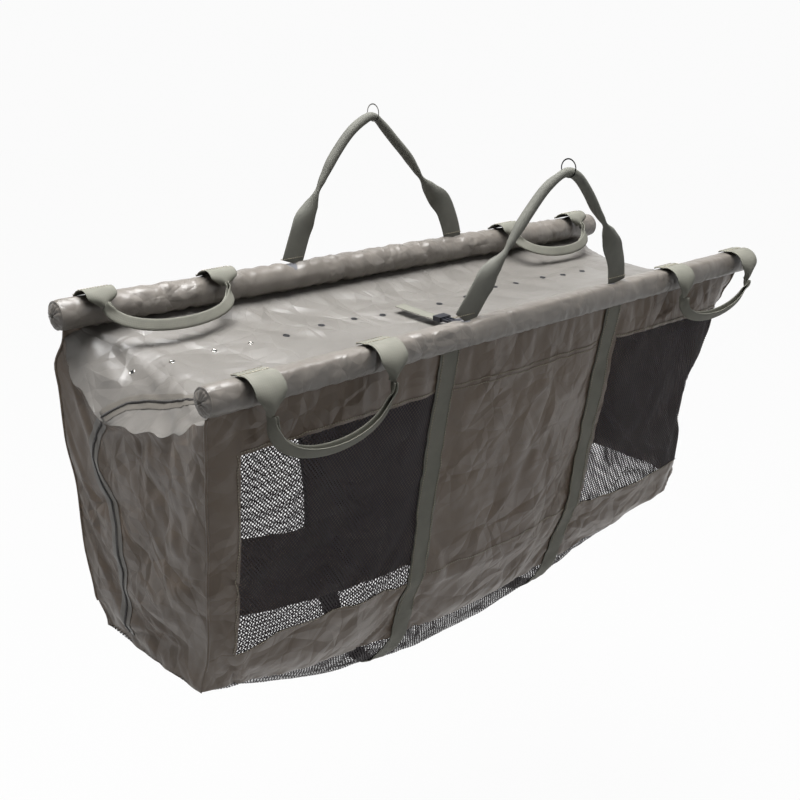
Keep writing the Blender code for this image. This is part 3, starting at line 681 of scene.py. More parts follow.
@dataclass
class Stitching:
    """Runs of sewn thread, kept together as one piece for each body."""

    name: str
    body: str
    pitch: float = 0.0045
    shape: bmesh.types.BMesh = field(default_factory=bmesh.new)

    def sew(self, line: Sequence[Vector], out: Vector | Sequence[Vector], lift: float = 0.0012) -> None:
        """Lay stitches along a line.

        Args:
            line: Points on the cloth.
            out: The outward direction, or one for each point.
            lift: How far the thread's middle stands off the points.
        """
        outs = list(out) if isinstance(out, (list, tuple)) else [out] * len(line)
        carried = 0.0
        for number, (here, after) in enumerate(zip(line, line[1:])):
            step = after - here
            length = step.length
            if length < 1e-6:
                continue
            way = step / length
            side = way.cross(outs[number]).normalized()
            up = side.cross(way)
            turn = Matrix((way, side, up)).transposed().to_4x4()
            while carried < length:
                spot = here + way * carried + up * lift
                size = Matrix.Diagonal((self.pitch * 0.62, 0.0011, 0.0008, 1.0))
                bmesh.ops.create_cube(self.shape, size=1.0, matrix=Matrix.Translation(spot) @ turn @ size)
                carried += self.pitch
            carried -= length

    def done(self) -> bpy.types.Object:
        """Turn the thread into a piece that rides on its body."""
        made = finish_mesh(self.name, self.shape, Look.THREAD, smooth=False)
        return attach(made, self.body)


# The bag's own shape


@dataclass(frozen=True)
class BagShape:
    """The bag's level shape: long walls, bottom seams and the sagging belly."""

    half_spacing: float = 0.182
    half_bag: float = 0.5825
    wall_top: float = -0.0228
    corner_drop: float = 0.455
    corner_inset: float = 0.060
    seam_drop: float = 0.545
    seam_inset: float = 0.095
    belly_drop: float = 0.635
    roundness: float = 2.2
    window_top: float = 0.062
    window_bottom: float = 0.376
    band_length: float = 0.150
    belly_length: float = 0.260
    left_window: tuple[float, float] = (-0.535, -0.185)
    right_window: tuple[float, float] = (0.243, 0.530)

    @property
    def seam(self) -> float:
        """How far down the cloth its front bottom seam lies."""
        return self.window_bottom + self.band_length

    @property
    def girth(self) -> float:
        """The cloth's whole length round the bag, from bar to bar."""
        return 2 * self.seam + self.belly_length

    def bulge(self, x: float) -> float:
        """How far the belly sags at a place along the bag, from 0 to 1."""
        return max(0.0, 1.0 - abs(x / self.half_bag) ** self.roundness)

    def wall(self, side: int, x: float, down: float) -> Vector:
        """A place on a long wall, at a distance down its slope."""
        fall = Vector((side * -self.corner_inset, -self.corner_drop - self.wall_top)).normalized()
        return Vector((x, side * self.half_spacing + fall.x * down, self.wall_top + fall.y * down))

    def seam_spot(self, side: int, x: float) -> Vector:
        """A place on a bottom seam."""
        sag = self.bulge(x)
        inset = self.corner_inset + (self.seam_inset - self.corner_inset) * sag
        drop = self.corner_drop + (self.seam_drop - self.corner_drop) * sag
        return Vector((x, side * (self.half_spacing - inset), -drop))

    def round_girth(self, x: float, down: float) -> Vector:
        """A place on the cloth that runs from the front bar, under the belly, to the back bar.

        Args:
            x: The place along the bag.
            down: The distance round the cloth from the front bar.

        Returns:
            The place in the level shape.
        """
        side = -1
        if down > self.girth / 2:
            side, down = 1, self.girth - down
        if down <= self.window_bottom:
            return self.wall(side, x, down)
        if down <= self.seam:
            share = (down - self.window_bottom) / self.band_length
            return self.wall(side, x, self.window_bottom).lerp(self.seam_spot(side, x), share)
        across = 1.0 - (down - self.seam) / (self.belly_length / 2)
        edge = self.seam_spot(side, x)
        sag = (self.belly_drop - self.seam_drop) * self.bulge(x) * (1.0 - across ** 2)
        return Vector((x, edge.y * across, edge.z - sag))

    def wall_y(self, height: float) -> float:
        """How far a long wall is from the middle at a height."""
        return self.half_spacing - self.corner_inset * clamp(
            (self.wall_top - height) / (self.corner_drop + self.wall_top)
        )


BAG = BagShape()


@dataclass(frozen=True)
class Posture:
    """How the soft sling hangs: a risen bar end, a billowed end, a leaning corner and a rolled-in one."""

    hang_drop: float = 0.260
    back_rise: float = 0.024
    roll_start: float = 0.530
    pull_in: tuple[tuple[float, float], ...] = (
        (-0.449, 0.004), (-0.433, 0.002), (-0.415, -0.010), (-0.342, -0.002), (-0.304, 0.009),
        (-0.256, 0.010), (-0.174, 0.004), (-0.104, -0.006), (-0.030, 0.000),
    )
    roll: tuple[tuple[float, float], ...] = (
        (-0.449, 0.40), (-0.430, 0.60), (-0.400, 1.05), (-0.340, 1.25), (-0.165, 1.25), (-0.110, 0.75),
        (-0.070, 0.35), (-0.030, 0.10),
    )
    billow: tuple[tuple[float, float], ...] = (
        (-0.449, 0.000), (-0.412, 0.014), (-0.333, 0.022), (-0.250, 0.020), (-0.178, 0.029),
        (-0.110, 0.028), (-0.080, 0.030), (-0.030, 0.008), (0.000, 0.000),
    )

    lean_in: tuple[tuple[float, float], ...] = (
        (-0.449, 0.007), (-0.400, 0.014), (-0.250, 0.003), (-0.120, -0.008), (-0.024, -0.015), (-0.010, 0.000),
    )

    def settle(self, spot: Vector) -> Vector:
        """Turn a place from the level shape into where it hangs in the frame.

        Args:
            spot: x, y and the height from the bar axes.

        Returns:
            The place in the frame.
        """
        x, y, height = spot
        deep = clamp((height + 0.45) / 0.45)
        rise = self.back_rise * clamp((0.6 - x) / 1.2) * smoothstep(-0.12, 0.182, y) * deep
        near = 1.0 - smoothstep(0.0, 0.13, y + BAG.wall_y(height)) if height < -0.024 else 0.0
        inward = table(self.pull_in, height) * smoothstep(0.25, self.roll_start, x) * near
        past, turn = max(0.0, x - self.roll_start) * near, table(self.roll, height)
        swell = table(self.billow, height) * smoothstep(-0.40, -0.583, x) * smoothstep(-0.02, 0.15, y)
        corner = smoothstep(-0.40, -0.53, x) * (1.0 - smoothstep(-0.182, -0.02, y))
        inward -= table(self.lean_in, height) * corner
        return Vector((
            x - inward - past * (1.0 - math.cos(turn)) - 0.40 * swell,
            y + past * math.sin(turn) + swell,
            height + rise - self.hang_drop,
        ))


POSTURE = Posture()


@dataclass
class Shell:
    """The cloth round the bag's girth, cut into walls, windows, bands and the belly net."""

    cell: float = 0.0065
    low_edge: tuple[tuple[float, float], ...] = (
        (-0.535, -0.010), (-0.43, -0.002), (-0.36, -0.002), (-0.28, -0.012), (-0.20, -0.022), (0.00, -0.020),
        (0.22, -0.014), (0.53, -0.006),
    )
    sheet: bpy.types.Object = field(init=False)
    skin: BVHTree = field(init=False)

    @property
    def wall_area(self) -> float:
        """The cloth left in one wall once its two windows are cut out."""
        openings = sum(end - start for start, end in (BAG.left_window, BAG.right_window))
        return 2 * BAG.half_bag * BAG.window_bottom - openings * (BAG.window_bottom - BAG.window_top)

    def place(self, x: float, down: float) -> Vector:
        """Where the cloth's own coordinates lie before it settles."""
        spot = BAG.round_girth(x, down)
        side = -1.0 if down < BAG.girth / 2 else 1.0
        nearest = min(down, BAG.girth - down)
        inner = smoothstep(0.0, 0.08, nearest) * (1.0 - smoothstep(0.50, 0.583, abs(x)))
        wave = 0.006 * ripple(spot, 0.16, 3.0) + 0.0030 * crumple(spot, 0.13, 7.0)
        wave += 0.0009 * crumple(spot, 0.055, 2.0)
        spot.y += side * wave * inner
        spot.z += 0.006 * (1.0 - smoothstep(0.0, 0.010, nearest))
        edge = 1.0 - smoothstep(0.0, 0.08, abs(nearest - BAG.window_bottom))
        spot.z += edge * (table(self.low_edge, x) + 0.004 * ripple(Vector((x, side, 0.0)), 0.07, 11.0))
        return POSTURE.settle(spot)

    def hold(self, x: float, down: float) -> float:
        """How firmly the cloth is held: by the bars, the end seams and the webbing."""
        nearest = min(down, BAG.girth - down)
        if nearest < 0.004 or abs(x) > BAG.half_bag - 0.004:
            return 1.0
        band = min(abs(x + 0.172), abs(x - 0.214))
        firm = 0.35 * (1.0 - smoothstep(0.015, 0.035, band))
        seam = 0.20 * (1.0 - smoothstep(0.0, 0.012, abs(nearest - BAG.seam)))
        return max(0.03, firm, seam)

    def build(self) -> None:
        """Make the whole sheet, let it settle, and keep its surface for what is sewn on it."""
        across = stations(
            (-BAG.half_bag, *BAG.left_window, *BAG.right_window, BAG.half_bag), self.cell
        )
        half = (0.0, BAG.window_top, BAG.window_bottom, BAG.seam)
        breaks = [*half, BAG.girth / 2, *[BAG.girth - value for value in reversed(half)]]
        shape = woven_grid(across, stations(breaks, self.cell), self.place)
        # The sheet wears the darker painted-shade copy of the nylon.
        self.sheet = finish_mesh("girth_sheet", shape, Look.SHADED_NYLON)
        Drape(growth=0.012, limit=0.010).run(self.sheet, self.hold)
        self.skin = BVHTree.FromObject(self.sheet, bpy.context.evaluated_depsgraph_get())

    def on_cloth(self, x: float, down: float, lift: float) -> Vector:
        """A place on the settled cloth, stood off it.

        Args:
            x: The place along the bag.
            down: The distance round the cloth from the front bar.
            lift: How far outside the cloth to stand.

        Returns:
            The place in the frame.
        """
        guess = self.place(x, down)
        spot, normal, _, _ = self.skin.find_nearest(guess)
        middle = Vector((guess.x, 0.0, guess.z if guess.z > -0.70 else -0.70))
        if normal.dot(spot - middle) < 0.0:
            normal = -normal
        return spot + normal * lift

    def dress(self) -> None:
        """Cut the sheet into its pieces and put each on the bag, hiding the parts that it stands for."""
        def in_window(x: float) -> bool:
            return BAG.left_window[0] < x < BAG.left_window[1] or BAG.right_window[0] < x < BAG.right_window[1]

        end = BAG.girth
        for word, side in (("front", -1), ("back", 1)):
            def down_of(down: float, side: int = side) -> float:
                return down if side < 0 else end - down

            def wall(x: float, down: float) -> bool:
                reach = down_of(down)
                return reach < BAG.window_top or (reach < BAG.window_bottom and not in_window(x))

            def band(x: float, down: float) -> bool:
                return BAG.window_bottom < down_of(down) < BAG.seam

            def window(x: float, down: float, left: bool) -> bool:
                reach = down_of(down)
                return BAG.window_top < reach < BAG.window_bottom and in_window(x) and (x < 0.0) == left

            width = 2 * BAG.half_bag
            wall_nodes = (f"{word}_wall_border", f"{word}_centre_panel")
            pieces = (
                (f"{word}_wall_cloth", wall, wall_nodes, BAG.window_bottom, self.wall_area),
                (f"{word}_bottom_cloth", band, (f"{word}_bottom_band",), 0.155, width * 0.155),
            )
            for name, keep, nodes, height, area in pieces:
                # Walls and bands wear the painted-shade copy of the nylon.
                made = thicken(cut_out(self.sheet, name, Look.SHADED_NYLON, keep), 0.0009)
                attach(made, "bag")
                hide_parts(*nodes)
            for left, span in ((True, BAG.left_window), (False, BAG.right_window)):
                hand = "left" if left else "right"
                made = cut_out(
                    self.sheet, f"{word}_window_{hand}", Look.MESH,
                    lambda x, down, left=left, window=window: window(x, down, left),
                )
                thicken(made, 0.0007)
                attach(made, "bag")
                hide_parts(f"{word}_mesh_{hand}")
        made = cut_out(self.sheet, "belly_mesh", Look.MESH, lambda x, down: BAG.seam < down < end - BAG.seam)
        thicken(made, 0.0007)
        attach(made, "bag")
        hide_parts("belly_net")
        bpy.data.objects.remove(self.sheet)
        LOG.info("walls, windows and belly are cut and dressed")


@dataclass
class Canopy:
    """One sheet up the left end, over the top and down the right end."""

    cell: float = 0.0065
    top_height: float = -0.029
    floor_height: float = -0.4570
    zip_y: float = -0.077
    fold_y: float = 0.068
    lid_half: float = 0.542
    end_length: float = 0.340
    shoulder_length: float = 0.085
    drops: tuple[tuple[float, float], ...] = (
        (-1.00, 0.004), (-0.84, 0.011), (-0.57, 0.038), (-0.31, 0.056), (0.00, 0.076), (0.34, 0.086),
        (0.69, 0.062), (0.86, 0.034), (1.00, 0.006),
    )
    sheet: bpy.types.Object = field(init=False)
    skin: BVHTree = field(init=False)

    @property
    def top_start(self) -> float:
        """Where the top begins along the sheet."""
        return self.end_length + self.shoulder_length

    @property
    def top_edge(self) -> float:
        """Where the lid and the strips beside it end, just down the shoulder."""
        return self.end_length + 0.72 * self.shoulder_length

    @property
    def length(self) -> float:
        """The sheet's whole length."""
        return 2 * self.top_start + 2 * self.lid_half

    def shoulder(self, across: float, end: int) -> tuple[float, float]:
        """How far a shoulder reaches in and down at a share across the bag."""
        ragged = 0.010 * ripple(Vector((across * BAG.half_spacing, end, 0.0)), 0.045, 6.0) * (1.0 - across ** 4)
        drop = (table(self.drops, across) + ragged) * (1.0 if end < 0 else 0.5)
        return 0.030 + 0.75 * max(0.0, drop), max(0.003, drop)

    def level(self, run: float, across: float) -> Vector:
        """Where the sheet's own coordinates lie in the level shape.

        Args:
            run: The distance along the sheet from the left end's foot.
            across: The share across the bag, from -1 at the front to 1 at the back.

        Returns:
            The place in the level shape.
        """
        end = -1
        if run > self.length / 2:
            end, run = 1, self.length - run
        reach, drop = self.shoulder(across, end)
        if run <= self.end_length:
            height = self.floor_height + (self.top_height - drop - self.floor_height) * run / self.end_length
            below = self.end_length - run
            tuck = 0.16 * min(drop, 0.10) * (1.0 - math.exp(-below / 0.008)) * math.exp(-below / 0.055)
            x = BAG.half_bag - tuck
        elif run <= self.top_start:
            share = (run - self.end_length) / self.shoulder_length
            x = BAG.half_bag - reach * share
            height = self.top_height - drop * (1.0 - 1.5 * share + 0.5 * share ** 3)
        else:
            share = (run - self.top_start) / self.lid_half
            x = (BAG.half_bag - reach) * (1.0 - share)
            height = self.top_height
        lip = 0.007 * smoothstep(0.92, 1.0, abs(across)) * smoothstep(self.end_length, self.top_start, run)
        return Vector((end * x, across * BAG.wall_y(height), height + lip))

    def place(self, run: float, metres: float) -> Vector:
        """Where the cloth's own coordinates lie before it settles."""
        across = metres / BAG.half_spacing
        spot = self.level(run, across)
        inner = 1.0 - abs(across) ** 6
        on_top = smoothstep(self.end_length + 0.02, self.top_start, min(run, self.length - run))
        sway = ripple(spot, 0.20, 1.0) * 0.006 + (0.0012 + 0.0036 * (1.0 - on_top)) * crumple(spot, 0.12, 5.0)
        sway += 0.0016 * (1.0 - on_top) * crumple(spot, 0.05, 9.0)
        out = Vector((math.copysign(1.0 - on_top, spot.x), 0.0, on_top))
        spot += out * sway * inner
        spot.z -= on_top * 0.005 * (1.0 - across ** 2)
        return POSTURE.settle(spot)

    def hold(self, run: float, metres: float) -> float:
        """How firmly the cloth is held: by the wall seams and the floor."""
        if abs(metres) > BAG.half_spacing - 0.003 or min(run, self.length - run) < 0.004:
            return 1.0
        return 0.03

    def build(self) -> None:
        """Make the whole sheet, let it settle, and keep its surface for the zip and vents."""
        half = (0.0, self.end_length, self.top_edge, self.top_start)
        breaks = (*half, *[self.length - value for value in reversed(half)])
        sides = (-BAG.half_spacing, self.zip_y, self.fold_y, BAG.half_spacing)
        shape = woven_grid(stations(breaks, self.cell), stations(sides, self.cell), self.place)
        self.sheet = finish_mesh("canopy_sheet", shape, Look.NYLON)
        Drape(growth=0.004, limit=0.008).run(self.sheet, self.hold)
        self.skin = BVHTree.FromObject(self.sheet, bpy.context.evaluated_depsgraph_get())

    def on_cloth(self, spot: Vector, lift: float) -> tuple[Vector, Vector]:
        """The nearest place on the settled sheet, stood off it, and the way out there.

        Args:
            spot: A place near the sheet, in the frame.
            lift: How far outside the cloth to stand.

        Returns:
            The place and the outward direction.
        """
        found, normal, _, _ = self.skin.find_nearest(spot)
        middle = Vector((found.x * 0.8, 0.0, -0.45))
        if normal.dot(found - middle) < 0.0:
            normal = -normal
        return found + normal * lift, normal

    def dress(self) -> None:
        """Cut the sheet into the ends, the lid and the two strips of the top."""
        start, end, far = self.top_edge, self.length - self.top_edge, self.length - self.end_length

        def front(run: float, metres: float) -> bool:
            return start < run < end and metres < self.zip_y

        def rear(run: float, metres: float) -> bool:
            return start < run < end and metres > self.fold_y

        def lid(run: float, metres: float) -> bool:
            return start < run < end and self.zip_y < metres < self.fold_y

        top = 2 * self.lid_half
        pieces = (
            ("top_front_cloth", front, "bag", ("front_top_strip",), (top, 0.100)),
            ("top_rear_cloth", rear, "bag", ("rear_top_strip",), (top, 0.114)),
            ("lid_cloth", lid, "lid", ("lid_panel",), (top, 0.150)),
            ("left_shoulder_cloth", lambda run, metres: self.end_length < run < start, "bag", (), (0.360, 0.075)),
            ("right_shoulder_cloth", lambda run, metres: end < run < far, "bag", (), (0.360, 0.045)),
            ("left_end_cloth", lambda run, metres: run < self.end_length, "bag",
             ("left_end_panel", "left_end_rear_strip"), (0.360, 0.350)),
            ("right_end_cloth", lambda run, metres: run > far, "bag",
             ("right_end_panel", "right_end_rear_strip"), (0.360, 0.380)),
        )
        for name, keep, body, nodes, flat in pieces:
            # The ends wear the darker painted-shade copy of the nylon; the top, lid and shoulders keep the lighter one.
            look = Look.SHADED_NYLON if "_end_" in name else Look.NYLON
            made = thicken(cut_out(self.sheet, name, look, keep), 0.0009)
            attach(made, body)
            if nodes:
                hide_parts(*nodes)
        bpy.data.objects.remove(self.sheet)
        LOG.info("top, lid and ends are cut and dressed")


@dataclass
class CarryBands:
    """The two webbing bands sewn round the bag, with a row of stitches along each edge."""

    shell: Shell
    centres: tuple[float, float] = (-0.172, 0.214)
    width: float = 0.038
    lift: float = 0.0022

    def build(self, thread: Stitching) -> None:
        """Lay each band over the settled cloth."""
        for word, middle in zip(("left", "right"), self.centres):
            along = stations((0.002, BAG.girth - 0.002), 0.008)
            across = [self.width * (step / 5 - 0.5) for step in range(6)]

            def place(down: float, side: float, middle: float = middle) -> Vector:
                sway = 0.006 * ripple(Vector((middle, down, 0.0)), 0.13, 2.0)
                return self.shell.on_cloth(middle + side + sway, down, self.lift)

            shape = woven_grid(along, across, place)
            made = thicken(finish_mesh(f"band_{word}", shape, Look.WEBBING), 0.0018)
            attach(made, "bag")
            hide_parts(f"carry_band_{word}")
            for edge in (-1, 1):
                inset = edge * (self.width / 2 - 0.003)
                line = [self.shell.on_cloth(middle + inset, down, self.lift + 0.0009) for down in along[:60]]
                thread.sew(line, Vector((0.0, -1.0, 0.0)))
            LOG.info("band %s laid over the cloth", word)


@dataclass
class WallSeams:
    """Stitch lines round the windows, along the seams and on the corners of the walls."""

    shell: Shell

    def build(self, thread: Stitching) -> None:
        """Sew each line on both walls."""
        for side in (-1, 1):
            out = Vector((0.0, side, 0.0))

            def down_of(down: float, side: int = side) -> float:
                return down if side < 0 else BAG.girth - down

            def level(down: float, start: float, end: float) -> list[Vector]:
                count = max(2, int((end - start) / 0.012))
                return [
                    self.shell.on_cloth(start + (end - start) * step / count, down_of(down), 0.0004)
                    for step in range(count + 1)
                ]

            for down in (BAG.window_top - 0.004, BAG.window_bottom + 0.004):
                thread.sew(level(down, *BAG.left_window), out)
                thread.sew(level(down, *BAG.right_window), out)
            for down in (BAG.window_top - 0.003, BAG.window_top + 0.005, BAG.window_bottom):
                thread.sew(level(down, -0.150, 0.192), out)
            for x in (BAG.left_window[0] - 0.005, BAG.right_window[1] + 0.005):
                line = [
                    self.shell.on_cloth(x, down_of(down), 0.0004)
                    for down in stations((BAG.window_top, BAG.window_bottom), 0.012)
                ]
                thread.sew(line, out)
        LOG.info("wall seams sewn")


@dataclass
class Piping:
    """A narrow bound edge of folded cloth along a seam."""

    name: str
    radius: float = 0.0021

    def build(self, line: Sequence[Vector]) -> bpy.types.Object:
        """Sweep the binding along a seam line."""
        count = len(line) - 1
        angles = [2 * math.pi * step / 8 for step in range(9)]
        runs = [step * 0.008 for step in range(count + 1)]

        def place(along: float, turn: float) -> Vector:
            number = round(along / 0.008)
            way = (line[min(number + 1, count)] - line[max(number - 1, 0)]).normalized()
            side = way.orthogonal().normalized() if abs(way.x) < 0.5 else way.cross(Vector((0, 0, 1))).normalized()
            up = side.cross(way)
            return line[number] + (side * math.cos(turn) + up * math.sin(turn)) * self.radius

        shape = weld_outward(woven_grid(runs, angles, place))
        # The binding wears the painted-shade copy of the nylon.
        made = finish_mesh(self.name, shape, Look.SHADED_NYLON)
        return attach(made, "bag")


# Float bars


@dataclass
class FloatBar:
    """A float bar: wrinkled sleeve, foam, pole and the gathered cloth over each end."""

    word: str
    side: int
    radius: float
    feet: tuple[float, float]
    pucker: float
    facet: float
    half: float = 0.600

    def axis(self, x: float) -> Vector:
        """The bar's axis at a place along it."""
        return POSTURE.settle(Vector((x, self.side * BAG.half_spacing, 0.0)))

    def around(self, x: float, turn: float, radius: float) -> Vector:
        """A place round the bar, where turn 0 points along +Y and a quarter turn points up."""
        return self.axis(x) + Vector((0.0, math.cos(turn), math.sin(turn))) * radius

    def sleeve(self, x: float, turn: float) -> Vector:
        """The sleeve's wrinkled surface."""
        spot = Vector((x, math.cos(turn) * self.radius, math.sin(turn) * self.radius + self.side))
        middle = 1.0 - smoothstep(0.50, 0.60, abs(x))
        pinch = ripple(Vector((x * 2.4, spot.y * 0.8, spot.z * 0.8)), 0.05, 6.0)
        folds = crease(Vector((x, turn * 0.012, self.side)), 0.022, 8.0)
        facet = self.facet * (1.0 - 2.0 * abs(math.sin(2.0 * (turn - math.radians(128.0))))) * middle
        reach = self.radius - 0.0012 + facet + self.pucker * (0.8 * pinch + 1.1 * (folds - 0.4)) * middle
        for foot in self.feet:
            near = math.exp(-((x - foot) / 0.034) ** 2) * clamp(math.sin(turn))
            reach -= 0.0030 * near * (0.55 + 0.45 * math.sin(x * 900.0))
        lower = smoothstep(-0.55, -0.95, math.sin(turn))
        reach += 0.0012 * lower * math.sin(x * 260.0 + 3.0 * math.sin(x * 37.0)) * middle
        rim = smoothstep(0.592, 0.600, abs(x))
        reach -= 0.0025 * rim
        return self.around(x, turn, reach)

    def gathered(self, end: int, share: float, turn: float) -> Vector:
        """The gathered cloth over an end of the bar."""
        spoke = math.sin(turn * 11.0 + 2.0 * math.sin(turn * 3.0))
        reach = (self.radius - 0.0022) * share
        dome = 0.0050 * (1.0 - share ** 2.4) * smoothstep(0.0, 0.25, share) + 0.0018 * share * (1 - share) * spoke * 2.2
        rim = 0.0016 * math.exp(-((share - 0.86) / 0.05) ** 2)
        x = end * (self.half - 0.0006 + dome - rim)
        return self.axis(end * self.half) + Vector((
            x - end * self.half, math.cos(turn) * reach, math.sin(turn) * reach,
        ))

    def build(self) -> None:
        """Make the bar's pieces and put them on the bag."""
        turns = [2 * math.pi * step / 48 for step in range(49)]
        shape = weld_outward(woven_grid(stations((-self.half, self.half), 0.006), turns, self.sleeve))
        made = thicken(finish_mesh(f"{self.word}_sleeve_cloth", shape, Look.SLEEVE_NYLON), 0.0009)
        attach(made, "bag")
        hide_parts(f"{self.word}_float_sleeve")
        for hand, end in (("left", -1), ("right", 1)):
            shares = [step / 14 for step in range(15)]
            shape = woven_grid(
                shares, [2 * math.pi * step / 66 for step in range(67)],
                lambda share, turn, end=end: self.gathered(end, share, turn),
            )
            cap = thicken(finish_mesh(f"{self.word}_gather_{hand}", weld_outward(shape), Look.SLEEVE_NYLON), 0.0009)
            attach(cap, "bag")
            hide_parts(f"{self.word}_sleeve_end_{hand}")
        self.core("foam", self.radius - 0.0036, Look.FOAM, f"{self.word}_foam_float")
        self.core("rod", 0.006, Look.FIBRE, f"{self.word}_pole")
        LOG.info("%s bar dressed", self.word)

    def core(self, word: str, radius: float, look: Look, node: str) -> None:
        """Make the foam or the pole: a bar with eased ends along the posed axis."""
        shape = bmesh.new()
        bmesh.ops.create_cone(shape, cap_ends=True, segments=32, radius1=radius, radius2=radius, depth=1.194)
        rims = [edge for edge in shape.edges if abs(edge.verts[0].co.z - edge.verts[1].co.z) < 1e-6]
        bmesh.ops.bevel(
            shape, geom=rims, offset=radius * 0.2, offset_type="OFFSET", segments=3, profile=0.5,
            affect="EDGES", clamp_overlap=True, material=-1,
        )
        for vert in shape.verts:
            turned = Vector((vert.co.x, vert.co.y))
            vert.co = self.axis(vert.co.z) + Vector((0.0, turned.x, turned.y))
        bmesh.ops.recalc_face_normals(shape, faces=shape.faces[:])
        made = finish_mesh(f"{self.word}_{word}", shape, look)
        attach(made, "bag")
        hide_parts(node)


# Handles, keepers and grab straps


# How each handle leg hangs, front left and right then back left and right, as pairs of its
# share of the rise and its share of the way across from the foot to the crown
HANGS = (
    ((0.0, 0.0), (0.05, 0.035), (0.15, 0.115), (0.31, 0.24), (0.435, 0.355), (0.60, 0.49), (0.735, 0.607),
     (0.885, 0.755), (0.968, 0.885)),
    ((0.0, 0.0), (0.05, 0.01), (0.20, 0.045), (0.40, 0.18), (0.54, 0.33), (0.655, 0.47), (0.81, 0.635),
     (0.945, 0.82)),
    ((0.0, 0.0), (0.05, 0.025), (0.195, 0.10), (0.29, 0.155), (0.405, 0.245), (0.49, 0.30), (0.617, 0.405),
     (0.76, 0.545), (0.892, 0.71), (0.972, 0.87)),
    ((0.0, 0.0), (0.05, 0.01), (0.17, 0.063), (0.28, 0.135), (0.40, 0.29), (0.52, 0.432), (0.677, 0.581),
     (0.805, 0.735), (0.932, 0.89)),
)


@dataclass
class TallHandle:
    """A tall handle of rolled webbing, its sewn feet and the ring at its crown."""

    word: str
    side: int
    feet: tuple[float, float]
    apex: tuple[float, float]
    radius: float
    hangs: tuple[Sequence[tuple[float, float]], Sequence[tuple[float, float]]]
    necks: tuple[float, float]
    ring_radius: float = 0.0139
    wire: float = 0.0011
    width: float = 0.042
    curls: tuple[tuple[float, float], ...] = (
        (0.00, 0.2), (0.20, 0.6), (0.32, 2.2), (0.42, 5.9), (0.54, 5.4), (0.85, 5.4), (1.00, 5.9),
    )
    pinch: tuple[tuple[float, float], ...] = (
        (0.22, 1.0), (0.37, 0.62), (0.42, 0.46), (0.48, 0.75), (0.60, 1.0), (0.90, 0.94), (1.00, 0.80),
    )

    def lift(self, x: float) -> Vector:
        """How the posture moves the handle at a place along the bar."""
        level = Vector((x, self.side * BAG.half_spacing, 0.0))
        return POSTURE.settle(level) - level

    def leg(self, number: int) -> list[Vector]:
        """Points up one leg, in the level shape."""
        foot = Vector((self.feet[number], self.side * BAG.half_spacing, self.radius - 0.0030))
        rise = Vector((self.apex[0], foot.y, self.apex[1])) - foot
        return [foot + Vector((rise.x * aside, 0.0, rise.z * up)) for up, aside in self.hangs[number]]

    def build(self, thread: Stitching) -> None:
        """Make the handle, its ring and the stitched boxes on its feet."""
        crown = Vector((self.apex[0], self.side * BAG.half_spacing, self.apex[1]))
        points = [*self.leg(0), crown, *reversed(self.leg(1))]
        points = [point + self.lift(point.x) for point in points]
        count = 96
        spine = smooth_line(points, count)
        leans, curls, shrunk = [], [], []
        for number in range(count + 1):
            from_foot = min(number, count - number) * 2.0 / count
            neck = self.necks[0 if number < count / 2 else 1]
            if from_foot < neck:
                share = 0.42 * from_foot / neck
            else:
                share = 0.42 + 0.58 * (from_foot - neck) / (1.0 - neck)
            lean = Vector((0.0, 1.0, 0.0)).lerp(Vector((0.60, 0.80, 0.0)), smoothstep(0.15, 0.42, share))
            leans.append(lean.lerp(Vector((-0.30, 0.95, 0.0)), smoothstep(0.42, 0.62, share)))
            curls.append(table(self.curls, share))
            shrunk.append(table(self.pinch, share))

        def section(share: float, across: float) -> tuple[float, float]:
            number = round(share * count)
            reach, aside = curled(across, self.width, curls[number])
            return reach * shrunk[number], aside * shrunk[number]

        made = strap(f"{self.word}_tall_handle", spine, leans, self.width, section, Look.HANDLE_WEB)
        sewn = Vector((crown.x, crown.y, max(points[0].z, points[-1].z) + 0.006))
        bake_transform(made)
        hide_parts(f"{self.word}_handle")
        length = sum((after - here).length for here, after in zip(spine, spine[1:]))
        self.ring(crown + self.lift(crown.x))
        for foot_x in self.feet:
            for face in (-1, 1):
                line = [
                    Vector((foot_x + 0.0425 * (step / 10 - 0.5), self.side * BAG.half_spacing + face * 0.0012,
                            self.radius + 0.0055))
                    for step in range(11)
                ]
                thread.sew([spot + self.lift(foot_x) for spot in line], Vector((0.0, face, 0.0)), 0.0002)
        LOG.info("%s handle made", self.word)

    def ring(self, crown: Vector) -> None:
        """Spin the wire ring that the handle hangs by."""
        shape = bmesh.new()
        middle = crown + Vector((0.0, 0.0, 0.0062))
        turn = Matrix.Translation(middle + Vector((0.0, 0.0, self.ring_radius)))
        turn = turn @ Matrix.Rotation(math.pi / 2, 4, "Y") @ Matrix.Rotation(math.pi / 2, 4, "Y")
        made = bmesh.ops.create_circle(shape, segments=14, radius=self.wire, matrix=turn @ Matrix.Rotation(math.pi / 2, 4, "Y"))
        bmesh.ops.spin(
            shape, geom=made["verts"] + shape.edges[:], cent=middle, axis=(1.0, 0.0, 0.0),
            angle=2 * math.pi, steps=48, use_merge=True, use_duplicate=False,
        )
        ring = finish_mesh(f"{self.word}_wire_ring", weld_outward(shape), Look.STEEL)
        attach(ring, f"{self.word}_ring")
        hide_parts(f"{self.word}_ring")


